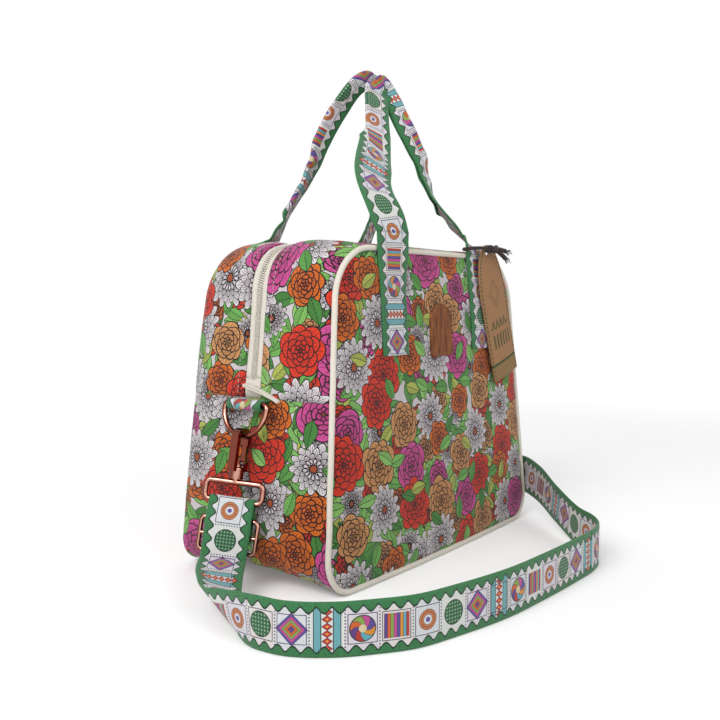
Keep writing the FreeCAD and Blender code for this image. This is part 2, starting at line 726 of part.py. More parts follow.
def shoulder_strap():
    # Webbing on its edge, swept through the points of the route
    start, start_edge, start_way = strap_end(left_end, left_swivel, True)
    finish, finish_edge, finish_way = strap_end(right_end, right_swivel, False)
    middles = [start] + [Vector(*point) for point, edge in strap_route] + [finish]
    edges = [start_edge] + [Vector(*edge) for point, edge in strap_route] + [finish_edge]
    ways = [start_way] + [middles[i + 1] - middles[i - 1] for i in range(1, len(middles) - 1)] + [finish_way * -1.0]
    for i, way in enumerate(ways):
        ways[i] = Vector(way).normalize()
    sections = []
    for i in range(len(middles) - 1):
        span = middles[i].distanceToPoint(middles[i + 1])
        steps = range(route_steps + (1 if i + 2 == len(middles) else 0))
        for k in steps:
            t = k / route_steps
            a = 2 * t ** 3 - 3 * t ** 2 + 1
            b = t ** 3 - 2 * t ** 2 + t
            c = -2 * t ** 3 + 3 * t ** 2
            d = t ** 3 - t ** 2
            point = middles[i] * a + ways[i] * (b * span) + middles[i + 1] * c + ways[i + 1] * (d * span)
            slope = (middles[i] * (6 * t ** 2 - 6 * t) + ways[i] * ((3 * t ** 2 - 4 * t + 1) * span)
                     + middles[i + 1] * (6 * t - 6 * t ** 2) + ways[i + 1] * ((3 * t ** 2 - 2 * t) * span))
            slope.normalize()
            edge = edges[i] * (1.0 - t) + edges[i + 1] * t
            edge = edge - slope * edge.dot(slope)
            edge.normalize()
            thick = slope.cross(edge) * (webbing_thickness / 2.0)
            wide = edge * (webbing_width / 2.0)
            lift = max(0.0, abs(wide.z) + abs(thick.z) - point.z)
            point = point + Vector(0, 0, lift)
            corners = [point + wide + thick, point + wide - thick, point - wide - thick, point - wide + thick]
            sections.append(Part.makePolygon(corners + corners[:1]))
    return Part.makeLoft(sections, True, True)


def write(name, shape):
    shape.exportStep("parts/" + name + ".step")


first = piping_proud + fabric_thickness
second = first + foam_thickness
third = second + lining_thickness

panel = panel_layer(panel_front, fabric_thickness)
panel_foam = panel_layer(panel_front + fabric_thickness, foam_thickness)
panel_lining = panel_layer(panel_front + fabric_thickness + foam_thickness, lining_thickness)
edge_piping = piping()
front_pieces = {
    "panel_upper": above(panel),
    "panel_lower": below(panel),
    "foam_upper": above(panel_foam),
    "foam_lower": below(panel_foam),
    "lining_upper": above(panel_lining),
    "lining_lower": below(panel_lining),
    "piping_upper": above(edge_piping),
    "piping_lower": below(edge_piping),
    "zip_strip": zip_half(piping_proud, first, zip_window / 2.0, 0),
    "zip_foam": zip_half(first, second, tape_edge + fold_clearance, 0),
    "zip_lining": zip_half(second, third, tape_edge + fold_clearance, 0),
    "zip_tape": over_ends(zip_half(first, first + tape_thickness, coil_gap / 2.0, tape_edge)),
    "zip_coil": over_ends(zip_half(first - coil_height, first, coil_gap / 2.0, coil_gap / 2.0 + coil_width)),
    "handle_left_end": on_front(anchor(-handle_spacing / 2.0)),
    "handle_right_end": on_front(anchor(handle_spacing / 2.0)),
    "handle_loop": handle_loop(),
}
for name, shape in front_pieces.items():
    write("front_" + name, shape)
    write("rear_" + name, to_rear(shape))

write("lower_gusset", below(gusset_layer(piping_proud, first)))
write("lower_gusset_foam", below(gusset_layer(first, second)))
write("lower_gusset_lining", below(gusset_layer(second, third)))
write("leather_patch", patch())
write("hang_tag", hang_tag())
write("tag_cord", tag_cord())
write("tag_knot", tag_knot())
write("zip_slider", zip_slider())
write("zip_pull", zip_pull())

for side, turn in (("left", left_swivel), ("right", right_swivel)):
    hand = to_left if side == "left" else (lambda shape: shape)
    write(side + "_ring_tab", hand(ring_tab()))
    write(side + "_zip_end", hand(zip_end()))
    write(side + "_d_ring", hand(d_ring()))
    write(side + "_hook_body", hand(placed(hook_body(), hang_place())))
    write(side + "_hook_gate", hand(placed(hook_gate(), hang_place())))
    write(side + "_gate_spring", hand(placed(gate_spring(), hang_place())))
    write(side + "_swivel_eye", hand(swivelled(eye(), turn)))
write("strap_adjuster", to_left(swivelled(adjuster(), left_swivel)))
write("left_strap_loop", to_left(swivelled(adjusted_loop(), left_swivel)))
write("right_strap_loop", swivelled(sewn_loop(), right_swivel))
write("shoulder_strap", shoulder_strap())
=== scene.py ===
import math
import bpy
import bmesh
import numpy as np
from mathutils import Matrix, Vector, noise


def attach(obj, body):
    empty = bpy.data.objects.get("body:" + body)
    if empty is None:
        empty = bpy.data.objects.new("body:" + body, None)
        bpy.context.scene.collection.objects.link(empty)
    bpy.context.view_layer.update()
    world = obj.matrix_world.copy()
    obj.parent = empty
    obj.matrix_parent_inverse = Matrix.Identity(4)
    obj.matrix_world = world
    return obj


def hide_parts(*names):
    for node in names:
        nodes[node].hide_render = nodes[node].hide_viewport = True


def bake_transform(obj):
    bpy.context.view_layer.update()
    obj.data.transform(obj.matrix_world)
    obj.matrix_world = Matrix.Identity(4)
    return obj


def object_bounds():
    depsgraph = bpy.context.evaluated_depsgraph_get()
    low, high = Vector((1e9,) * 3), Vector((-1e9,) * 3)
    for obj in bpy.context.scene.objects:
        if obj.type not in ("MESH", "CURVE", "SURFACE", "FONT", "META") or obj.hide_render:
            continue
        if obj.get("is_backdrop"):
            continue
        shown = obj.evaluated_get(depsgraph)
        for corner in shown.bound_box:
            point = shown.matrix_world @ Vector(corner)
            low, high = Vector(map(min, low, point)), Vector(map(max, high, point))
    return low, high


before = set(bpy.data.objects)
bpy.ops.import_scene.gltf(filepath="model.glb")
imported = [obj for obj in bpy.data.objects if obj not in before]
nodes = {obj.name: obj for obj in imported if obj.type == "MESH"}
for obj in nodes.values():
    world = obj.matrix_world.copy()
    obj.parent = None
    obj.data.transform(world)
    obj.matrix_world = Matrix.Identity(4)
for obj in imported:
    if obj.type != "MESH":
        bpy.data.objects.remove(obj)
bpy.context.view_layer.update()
scene = bpy.context.scene
scene.view_settings.view_transform = "Standard"
mm = 0.001
print("stage: frame loaded,", len(nodes), "nodes")

# sizes of the bag, as the frame has them
bagCut = {
    "baseWidth": 0.301, "baseDepth": 0.144, "height": 0.240,
    "sideTaper": 0.0245, "panelLean": 0.011,
    "topRadius": 0.045, "bottomRadius": 0.025, "seamHeight": 0.131,
    "pipingRadius": 0.0025, "pipingProud": 0.001, "wall": 0.0045, "lining": 0.0005,
    "footBow": 0.0040, "rearBack": 0.0045,
}
sideSlope = bagCut["sideTaper"] / bagCut["height"]
panelSlope = bagCut["panelLean"] / bagCut["height"]
leanAngle = math.atan2(bagCut["panelLean"], bagCut["height"])
panelHeight = bagCut["height"] / math.cos(leanAngle)
flaps = {"front": -1.0, "rear": 1.0}


# ---- wiring of materials
def tint(red, green, blue):
    def linear(value):
        value = value / 255.0
        return value / 12.92 if value <= 0.04045 else ((value + 0.055) / 1.055) ** 2.4
    return (linear(red), linear(green), linear(blue), 1.0)


class Desk:
    def __init__(self, name):
        self.material = bpy.data.materials.new(name)
        self.material.use_nodes = True
        self.tree = self.material.node_tree
        self.tree.nodes.clear()
        self.out = self.add("ShaderNodeOutputMaterial")
        self.shader = self.add("ShaderNodeBsdfPrincipled")
        self.tree.links.new(self.shader.outputs[0], self.out.inputs[0])

    def add(self, kind, **settings):
        node = self.tree.nodes.new(kind)
        for key, value in settings.items():
            setattr(node, key, value)
        return node

    def put(self, value, socket):
        if isinstance(value, bpy.types.NodeSocket):
            self.tree.links.new(value, socket)
        else:
            socket.default_value = value

    def calc(self, operation, *values, clamp=False):
        node = self.add("ShaderNodeMath", operation=operation, use_clamp=clamp)
        for value, socket in zip(values, node.inputs):
            self.put(value, socket)
        return node.outputs[0]

    def vec(self, operation, *values):
        node = self.add("ShaderNodeVectorMath", operation=operation)
        for value, socket in zip(values, node.inputs):
            self.put(value, socket)
        return node.outputs["Value" if operation in ("LENGTH", "DOT_PRODUCT") else "Vector"]

    def scale(self, vector, factor):
        node = self.add("ShaderNodeVectorMath", operation="SCALE")
        self.put(vector, node.inputs[0])
        self.put(factor, node.inputs["Scale"])
        return node.outputs["Vector"]

    def parts(self, vector):
        node = self.add("ShaderNodeSeparateXYZ")
        self.put(vector, node.inputs[0])
        return node.outputs[0], node.outputs[1], node.outputs[2]

    def join(self, x, y, z=0.0):
        node = self.add("ShaderNodeCombineXYZ")
        for value, socket in zip((x, y, z), node.inputs):
            self.put(value, socket)
        return node.outputs[0]

    def mix(self, share, first, second, blend="MIX"):
        node = self.add("ShaderNodeMix", data_type="RGBA", blend_type=blend)
        self.put(share, node.inputs[0])
        self.put(first, node.inputs[6])
        self.put(second, node.inputs[7])
        return node.outputs[2]

    def ramp(self, share, stops, kind="LINEAR"):
        node = self.add("ShaderNodeValToRGB")
        strip = node.color_ramp
        strip.interpolation = kind
        while len(strip.elements) < len(stops):
            strip.elements.new(0.5)
        for element, (place, colour) in zip(strip.elements, stops):
            element.position = place
            element.color = colour
        self.put(share, node.inputs[0])
        return node.outputs[0]

    def pick(self, share, limits, values):
        # one number for each span of share
        grey = [(limit, (value, value, value, 1.0)) for limit, value in zip(limits, values)]
        return self.calc("MULTIPLY", self.ramp(share, grey, "CONSTANT"), 1.0)

    def layMap(self):
        return self.add("ShaderNodeUVMap", uv_map="lay").outputs[0]

    def cloud(self, vector, size, detail=2.0, rough=0.5):
        node = self.add("ShaderNodeTexNoise", noise_dimensions="3D")
        self.put(vector, node.inputs["Vector"])
        node.inputs["Scale"].default_value = size
        node.inputs["Detail"].default_value = detail
        node.inputs["Roughness"].default_value = rough
        return node.outputs["Fac"]

    def place(self):
        return self.add("ShaderNodeNewGeometry").outputs["Position"]

    def bump(self, height, depth, strength=1.0):
        node = self.add("ShaderNodeBump")
        node.inputs["Strength"].default_value = strength
        node.inputs["Distance"].default_value = depth
        self.put(height, node.inputs["Height"])
        self.tree.links.new(node.outputs[0], self.shader.inputs["Normal"])
        return node

    def set(self, **values):
        for key, value in values.items():
            self.put(value, self.shader.inputs[key.replace("_", " ")])


# ---- printed canvas: dense blooms with fine dark outlines over leaves
canvasPrint = {
    "petals": [tint(224, 219, 222), tint(208, 80, 152), tint(222, 56, 28), tint(218, 110, 26), tint(210, 152, 94)],
    "hearts": [tint(190, 182, 188), tint(160, 38, 106), tint(178, 30, 16), tint(178, 72, 14), tint(172, 112, 60)],
    "eyes": [tint(160, 72, 36), tint(106, 56, 40), tint(122, 18, 14), tint(132, 48, 12), tint(110, 78, 40)],
    "limits": [0.0, 0.31, 0.47, 0.67, 0.83],
    "counts": [13, 5, 7, 6, 6],
    "radii": [20.0, 19.5, 19.5, 15.0, 17.5],
    "dips": [0.30, 0.13, 0.15, 0.15, 0.14],
    "swirls": [0.06, 0.75, 0.22, 0.35, 0.60],
    "eyeSizes": [0.12, 0.06, 0.05, 0.06, 0.11],
    "leaves": [tint(112, 178, 84), tint(70, 134, 58), tint(142, 198, 106), tint(180, 190, 88), tint(92, 158, 72), tint(126, 188, 94)],
    "ground": tint(208, 201, 204),
    "ink": tint(26, 13, 16),
    "line": 0.46,
}


def bloom(desk, local, dice, grow, place):
    look = canvasPrint
    kind, turn, size = desk.parts(dice)
    kind = desk.calc("FLOORED_MODULO", desk.calc("MULTIPLY_ADD", kind, 0.3, place), 1.0)
    x, y, _ = desk.parts(local)
    far = desk.vec("LENGTH", local)
    count = desk.calc("MULTIPLY", desk.pick(kind, look["limits"], [n / 20.0 for n in look["counts"]]), 20.0)
    count = desk.calc("ROUND", desk.calc("ADD", count, desk.calc("MULTIPLY", size, 2.0)))
    radius = desk.calc("MULTIPLY", desk.pick(kind, look["limits"], [r / 30.0 for r in look["radii"]]), 30.0 * grow)
    radius = desk.calc("MULTIPLY", radius, desk.calc("MULTIPLY_ADD", size, 0.24, 0.84))
    dip = desk.pick(kind, look["limits"], look["dips"])
    angle = desk.calc("MULTIPLY_ADD", turn, 6.2832, desk.calc("ARCTAN2", y, x))
    sway = desk.calc("SINE", desk.calc("MULTIPLY_ADD", angle, 3.0, desk.calc("MULTIPLY", size, 40.0)))
    rel = desk.calc("DIVIDE", far, radius)
    rel = desk.calc("MULTIPLY", rel, desk.calc("MULTIPLY_ADD", sway, 0.05, 1.0))
    thin = desk.calc("DIVIDE", look["line"], radius)
    # petals of the fuller kinds lean over each other and differ in width
    swirl = desk.pick(kind, look["limits"], look["swirls"])
    loose = desk.calc("SINE", desk.calc("MULTIPLY_ADD", angle, 2.0, desk.calc("MULTIPLY", size, 17.0)))
    angle = desk.calc("ADD", angle, desk.calc("MULTIPLY", swirl, desk.calc("MULTIPLY_ADD", loose, 0.28, rel)))
    spoke = desk.calc("ABSOLUTE", desk.calc("SINE", desk.calc("MULTIPLY", angle, desk.calc("MULTIPLY", count, 2.5))))
    spoke = desk.calc("DIVIDE", desk.calc("MULTIPLY", spoke, rel), desk.calc("MULTIPLY", count, 2.5))
    spoke = desk.calc("LESS_THAN", spoke, desk.calc("MULTIPLY", thin, 0.5))
    petal = desk.ramp(kind, list(zip(look["limits"], look["petals"])), "CONSTANT")
    heart = desk.ramp(kind, list(zip(look["limits"], look["hearts"])), "CONSTANT")
    half = desk.calc("MULTIPLY", count, 0.5)
    colour = None
    mask = None
    for k, share in enumerate((1.0, 0.79, 0.59, 0.40, 0.23)):
        phase = desk.calc("MULTIPLY_ADD", angle, half, 1.5708 * (k % 2) + 0.35 * k)
        lobe = desk.calc("ABSOLUTE", desk.calc("COSINE", phase))
        edge = desk.calc("MULTIPLY", desk.calc("SUBTRACT", 1.0, lobe), dip)
        edge = desk.calc("MULTIPLY", desk.calc("SUBTRACT", 1.0, edge), share)
        inside = desk.calc("LESS_THAN", rel, edge)
        gapLine = desk.calc("MULTIPLY", desk.calc("DIVIDE", lobe, half), rel)
        rim = desk.calc("ABSOLUTE", desk.calc("SUBTRACT", rel, edge))
        drawn = desk.calc("LESS_THAN", desk.calc("MINIMUM", gapLine, rim), thin)
        depth = desk.calc("MULTIPLY_ADD", rel, -1.1 / share, 1.05 + 0.10 * k, clamp=True)
        tone = desk.mix(depth, petal, heart)
        if k < 3:
            short = desk.calc("LESS_THAN", rel, desk.calc("SUBTRACT", edge, 0.085 * share))
            tone = desk.mix(desk.calc("MULTIPLY", desk.calc("MULTIPLY", spoke, short), 0.62), tone, look["ink"])
        tone = desk.mix(drawn, tone, look["ink"])
        if colour is None:
            colour = tone
            mask = desk.calc("LESS_THAN", rel, desk.calc("ADD", edge, thin))
        else:
            colour = desk.mix(desk.calc("LESS_THAN", rel, desk.calc("ADD", edge, thin)), colour, tone)
    eyeShare = desk.pick(kind, look["limits"], look["eyeSizes"])
    eye = desk.ramp(kind, list(zip(look["limits"], look["eyes"])), "CONSTANT")
    ring = desk.calc("LESS_THAN", rel, desk.calc("ADD", eyeShare, thin))
    colour = desk.mix(ring, colour, look["ink"])
    colour = desk.mix(desk.calc("LESS_THAN", rel, eyeShare), colour, eye)
    return mask, colour


def leaf(desk, local, dice, grow, place):
    look = canvasPrint
    turn, size, kind = desk.parts(dice)
    x, y, _ = desk.parts(local)
    angle = desk.calc("MULTIPLY", turn, 6.2832)
    c = desk.calc("COSINE", angle)
    s = desk.calc("SINE", angle)
    along = desk.calc("ADD", desk.calc("MULTIPLY", x, c), desk.calc("MULTIPLY", y, s))
    over = desk.calc("SUBTRACT", desk.calc("MULTIPLY", y, c), desk.calc("MULTIPLY", x, s))
    length = desk.calc("MULTIPLY_ADD", size, 4.0 * grow, 9.5 * grow)
    t = desk.calc("DIVIDE", along, length)
    side = desk.calc("ABSOLUTE", over)
    width = desk.calc("SUBTRACT", 1.0, desk.calc("MULTIPLY", t, t))
    width = desk.calc("MULTIPLY", width, desk.calc("MULTIPLY_ADD", t, -0.30, 1.0))
    width = desk.calc("MULTIPLY", width, 5.0 * grow)
    inside = desk.calc("LESS_THAN", side, width)
    inner = desk.calc("LESS_THAN", side, desk.calc("SUBTRACT", width, look["line"] * 1.3))
    rib = desk.calc("LESS_THAN", side, 0.25)
    vein = desk.calc("FRACT", desk.calc("DIVIDE", desk.calc("MULTIPLY_ADD", side, -0.9, along), 3.1))
    vein = desk.calc("MULTIPLY", desk.calc("LESS_THAN", vein, 0.10), desk.calc("LESS_THAN", side, 3.4 * grow))
    stops = [(i / len(look["leaves"]), colour) for i, colour in enumerate(look["leaves"])]
    green = desk.ramp(kind, stops, "CONSTANT")
    shade = desk.calc("MULTIPLY", desk.calc("LESS_THAN", over, 0.0), 0.22)
    green = desk.mix(shade, green, tint(40, 96, 40))
    green = desk.mix(desk.calc("MAXIMUM", rib, desk.calc("MULTIPLY", vein, 0.75)), green, tint(30, 58, 30))
    return inside, desk.mix(inner, look["ink"], green)


def scatter(desk, colour, spot, spacing, shift, loose, maker, grow, keep):
    # the two nearest motifs at each place, the one with the higher number on top
    drawn = []
    moved = desk.vec("ADD", spot, shift)
    for feature in ("F1", "F2"):
        node = desk.add("ShaderNodeTexVoronoi", voronoi_dimensions="2D", feature=feature)
        desk.put(moved, node.inputs["Vector"])
        node.inputs["Scale"].default_value = 1.0 / spacing
        node.inputs["Randomness"].default_value = loose
        flat = desk.vec("MULTIPLY", desk.vec("SUBTRACT", moved, node.outputs["Position"]), (1.0, 1.0, 0.0))
        # neighbours get kinds that differ
        column, row, _ = desk.parts(desk.vec("FLOOR", desk.scale(node.outputs["Position"], 1.0 / spacing)))
        place = desk.calc("MULTIPLY_ADD", column, 0.3, desk.calc("MULTIPLY", row, 0.7))
        mask, tone = maker(desk, flat, node.outputs["Color"], grow, place)
        rank = desk.parts(node.outputs["Color"])[1]
        if keep < 1.0:
            mask = desk.calc("MULTIPLY", mask, desk.calc("LESS_THAN", rank, keep))
        drawn.append((mask, tone, rank))
    (maskA, toneA, rankA), (maskB, toneB, rankB) = drawn
    first = desk.calc("GREATER_THAN", rankA, rankB)
    under = desk.calc("MULTIPLY_ADD", first, desk.calc("SUBTRACT", maskB, maskA), maskA)
    over = desk.calc("MULTIPLY_ADD", first, desk.calc("SUBTRACT", maskA, maskB), maskB)
    colour = desk.mix(under, colour, desk.mix(first, toneA, toneB))
    return desk.mix(over, colour, desk.mix(first, toneB, toneA))


def canvasMaterial():
    desk = Desk("printedCanvas")
    spot = desk.scale(desk.layMap(), 1000.0)
    wander = desk.cloud(spot, 0.11, 1.0)
    spot = desk.vec("ADD", spot, desk.scale(desk.join(wander, wander), 1.6))
    colour = canvasPrint["ground"]
    for layer in ((12.5, (7.0, 3.0, 0.0), 0.9, leaf, 1.0, 1.0),
                  (29.0, (512.0, 127.0, 0.0), 0.75, bloom, 0.68, 1.0),
                  (19.0, (91.0, 40.0, 0.0), 1.0, leaf, 1.0, 0.66),
                  (35.0, (233.0, 311.0, 0.0), 0.60, bloom, 1.05, 1.0),
                  (26.0, (41.0, 77.0, 0.0), 1.0, leaf, 1.0, 0.40)):
        colour = scatter(desk, colour, spot, *layer)
    x, y, _ = desk.parts(spot)
    warp = desk.calc("SINE", desk.calc("MULTIPLY", x, 6.2832 / 0.9))
    weft = desk.calc("SINE", desk.calc("MULTIPLY", y, 6.2832 / 0.9))
    weave = desk.calc("MULTIPLY", warp, weft)
    fibre = desk.cloud(spot, 1.6, 3.0, 0.6)
    patches = desk.cloud(spot, 0.035, 3.0, 0.55)
    colour = desk.mix(desk.calc("MULTIPLY", fibre, 0.22), colour, tint(120, 112, 112), "MULTIPLY")
    colour = desk.mix(desk.calc("MULTIPLY_ADD", weave, 0.10, 0.10), colour, tint(132, 124, 124), "MULTIPLY")
    colour = desk.mix(desk.calc("MULTIPLY", patches, 0.14), colour, tint(150, 138, 132), "MULTIPLY")
    desk.set(Base_Color=colour, Roughness=0.78, Sheen_Weight=0.12, Sheen_Roughness=0.5)
    desk.shader.inputs["Specular IOR Level"].default_value = 0.3
    desk.bump(desk.calc("ADD", desk.calc("MULTIPLY", weave, 0.5), fibre), 0.00012, 0.55)
    return desk.material


# ---- printed webbing: green borders, scalloped dark line, row of small framed geometric tiles
webbingPrint = {
    "green": tint(62, 138, 80), "deep": tint(24, 84, 46), "ink": tint(8, 34, 20), "frame": tint(70, 56, 84),
    "tints": [tint(226, 230, 233), tint(234, 230, 226), tint(228, 224, 231), tint(230, 234, 229)],
    "tile": 20.0, "scallop": 8.8, "border": 2.8, "lobe": 3.6, "line": 0.56,
    "bars": [tint(98, 64, 138), tint(216, 102, 38), tint(140, 172, 78), tint(202, 78, 150),
             tint(92, 76, 156), tint(226, 150, 48), tint(98, 176, 188), tint(188, 52, 42)],
    "rib": 1.15,
}


def webbingMaterial():
    look = webbingPrint
    desk = Desk("printedWebbing")
    spot = desk.scale(desk.layMap(), 1000.0)
    u, v, _ = desk.parts(spot)
    side = desk.calc("ABSOLUTE", u)
    tile = desk.calc("DIVIDE", v, look["tile"])
    index = desk.calc("FLOOR", tile)
    a = desk.calc("MULTIPLY", desk.calc("SUBTRACT", desk.calc("FRACT", tile), 0.5), look["tile"])
    six = desk.calc("FLOORED_MODULO", index, 6.0)
    four = desk.calc("DIVIDE", desk.calc("FLOORED_MODULO", desk.calc("MULTIPLY", index, 3.0), 4.0), 4.0)
    paintedHighlight = desk.ramp(desk.calc("ADD", four, 0.02), [(i / 4.0, c) for i, c in enumerate(look["tints"])], "CONSTANT")
    colour = paintedHighlight
    bars = [(i / 8.0, c) for i, c in enumerate(look["bars"])]

    def only(number):
        return desk.calc("COMPARE", six, float(number), 0.25)

    def within(value, low, high):
        return desk.calc("MULTIPLY", desk.calc("GREATER_THAN", value, low), desk.calc("LESS_THAN", value, high))

    la = desk.calc("ABSOLUTE", a)
    diamond = desk.calc("ADD", la, side)
    square = desk.calc("MAXIMUM", la, side)
    disc = desk.vec("LENGTH", desk.join(u, a))
    angle = desk.calc("DIVIDE", desk.calc("ADD", desk.calc("ARCTAN2", u, a), 3.1416), 6.2832)
    # nested diamonds in changing colours
    nest = desk.ramp(desk.calc("FRACT", desk.calc("DIVIDE", diamond, 15.0)), bars, "CONSTANT")
    thinLine = desk.calc("LESS_THAN", desk.calc("FRACT", desk.calc("DIVIDE", diamond, 1.875)), 0.16)
    nest = desk.mix(thinLine, nest, look["frame"])
    nest = desk.mix(desk.calc("LESS_THAN", diamond, 9.6), paintedHighlight, nest)
    colour = desk.mix(only(0), colour, nest)
    # row of red drops between two lines
    drop = desk.calc("FRACT", desk.calc("DIVIDE", u, 4.2))
    drop = desk.calc("ABSOLUTE", desk.calc("SUBTRACT", drop, 0.5))
    drop = desk.calc("MULTIPLY_ADD", drop, 4.2, desk.calc("MULTIPLY", la, 0.7))
    band = desk.mix(within(la, 3.7, 7.4), paintedHighlight, tint(112, 176, 184))
    band = desk.mix(desk.calc("LESS_THAN", drop, 2.3), band, look["frame"])
    band = desk.mix(desk.calc("LESS_THAN", drop, 1.9), band, tint(196, 42, 30))
    band = desk.mix(desk.calc("LESS_THAN", drop, 0.8), band, tint(236, 168, 74))
    band = desk.mix(desk.calc("MAXIMUM", within(la, 3.2, 3.7), within(la, 7.4, 7.9)), band, look["ink"])
    colour = desk.mix(only(1), colour, band)
    # pinwheel disc
    wheel = desk.ramp(desk.calc("FRACT", desk.calc("MULTIPLY_ADD", disc, 0.022, angle)), bars, "CONSTANT")
    blades = desk.calc("LESS_THAN", desk.calc("FRACT", desk.calc("MULTIPLY", desk.calc("MULTIPLY_ADD", disc, 0.022, angle), 8.0)), 0.10)
    wheel = desk.mix(blades, wheel, look["frame"])
    wheel = desk.mix(desk.calc("LESS_THAN", disc, 2.3), wheel, tint(226, 210, 168))
    wheel = desk.mix(within(disc, 7.2, 7.8), wheel, look["ink"])
    wheel = desk.mix(desk.calc("LESS_THAN", disc, 7.8), paintedHighlight, wheel)
    colour = desk.mix(only(2), colour, wheel)
    # upright colour bars
    stripes = desk.ramp(desk.calc("DIVIDE", desk.calc("ADD", a, 7.6), 15.2), bars, "CONSTANT")
    seams = desk.calc("LESS_THAN", desk.calc("FRACT", desk.calc("DIVIDE", desk.calc("ADD", a, 7.6), 1.9)), 0.14)
    stripes = desk.mix(seams, stripes, look["frame"])
    stripes = desk.mix(desk.calc("MULTIPLY", desk.calc("LESS_THAN", la, 7.6), desk.calc("LESS_THAN", side, 7.2)), paintedHighlight, stripes)
    colour = desk.mix(only(3), colour, stripes)
    # ring with a dotted middle
    ring = desk.mix(within(disc, 3.2, 5.8), paintedHighlight, tint(212, 128, 60))
    ring = desk.mix(within(disc, 4.3, 4.7), ring, look["frame"])
    ring = desk.mix(desk.calc("MAXIMUM", within(disc, 2.9, 3.2), within(disc, 5.8, 6.2)), ring, look["frame"])
    ring = desk.mix(desk.calc("LESS_THAN", disc, 1.5), ring, tint(92, 76, 156))
    colour = desk.mix(only(4), colour, ring)
    # dotted green disc
    dots = desk.vec("LENGTH", desk.join(
        desk.calc("SUBTRACT", desk.calc("FRACT", desk.calc("DIVIDE", u, 2.2)), 0.5),
        desk.calc("SUBTRACT", desk.calc("FRACT", desk.calc("DIVIDE", a, 2.2)), 0.5)))
    dotted = desk.mix(desk.calc("LESS_THAN", dots, 0.26), tint(36, 98, 66), tint(150, 186, 140))
    dotted = desk.mix(within(disc, 7.0, 7.6), dotted, look["ink"])
    dotted = desk.mix(desk.calc("LESS_THAN", disc, 7.6), paintedHighlight, dotted)
    colour = desk.mix(only(5), colour, dotted)
    # frame of each tile and a row of pricks between tiles
    colour = desk.mix(desk.calc("MULTIPLY", within(square, 8.2, 8.7), desk.calc("LESS_THAN", four, 0.6)), colour, look["frame"])
    prick = desk.calc("LESS_THAN", desk.calc("FRACT", desk.calc("DIVIDE", u, 1.9)), 0.45)
    colour = desk.mix(desk.calc("MULTIPLY", desk.calc("GREATER_THAN", la, 9.6), prick), colour, look["frame"])
    grain = desk.cloud(spot, 0.75, 4.0, 0.7)
    colour = desk.mix(desk.calc("MULTIPLY", grain, 0.34), colour, tint(118, 104, 112), "MULTIPLY")
    # borders
    wave = desk.calc("ABSOLUTE", desk.calc("SINE", desk.calc("MULTIPLY", v, 3.1416 / look["scallop"])))
    wave = desk.calc("POWER", wave, 1.5)
    edge = desk.calc("MULTIPLY_ADD", wave, -look["lobe"], 16.0 - look["border"])
    colour = desk.mix(desk.calc("GREATER_THAN", side, desk.calc("SUBTRACT", edge, look["line"])), colour, look["ink"])
    streak = desk.cloud(desk.vec("MULTIPLY", spot, (2.6, 0.7, 1.0)), 0.8, 3.0, 0.65)
    streak = desk.calc("MULTIPLY_ADD", streak, 2.2, -0.6, clamp=True)
    colour = desk.mix(desk.calc("GREATER_THAN", side, desk.calc("ADD", edge, look["line"])), colour, desk.mix(streak, look["green"], look["deep"]))
    rib = desk.calc("SINE", desk.calc("MULTIPLY", v, 6.2832 / look["rib"]))
    cross = desk.calc("SINE", desk.calc("MULTIPLY", u, 6.2832 / (look["rib"] * 1.6)))
    rib = desk.calc("MULTIPLY", rib, desk.calc("MULTIPLY_ADD", cross, 0.35, 0.65))
    fibre = desk.cloud(spot, 2.2, 3.0, 0.6)
    shade = desk.calc("MULTIPLY_ADD", rib, 0.15, desk.calc("MULTIPLY_ADD", fibre, 0.22, 0.04))
    colour = desk.mix(desk.calc("MAXIMUM", shade, 0.0), colour, tint(90, 84, 84), "MULTIPLY")
    desk.set(Base_Color=colour, Roughness=0.62, Sheen_Weight=0.15)
    desk.shader.inputs["Specular IOR Level"].default_value = 0.35
    desk.bump(desk.calc("MULTIPLY_ADD", rib, 0.5, fibre), 0.00026, 0.65)
    return desk.material


def clothMaterial(name, colour, dark, thread, rough=0.8):
    # plain woven cloth: piping, zip tape, zip coil, stitching
    desk = Desk(name)
    spot = desk.scale(desk.layMap(), 1000.0)
    x, y, _ = desk.parts(spot)
    warp = desk.calc("SINE", desk.calc("MULTIPLY", desk.calc("ADD", x, y), 6.2832 / thread))
    weft = desk.calc("SINE", desk.calc("MULTIPLY", desk.calc("SUBTRACT", x, y), 6.2832 / thread))
    weave = desk.calc("MULTIPLY", warp, weft)
    fibre = desk.cloud(spot, 0.9, 3.0, 0.6)
    share = desk.calc("MULTIPLY_ADD", weave, 0.18, desk.calc("MULTIPLY", fibre, 0.5), clamp=True)
    desk.set(Base_Color=desk.mix(share, colour, dark), Roughness=rough, Sheen_Weight=0.1)
    desk.shader.inputs["Specular IOR Level"].default_value = 0.3
    desk.bump(desk.calc("MULTIPLY_ADD", weave, 0.6, fibre), 0.00015, 0.6)
    return desk.material


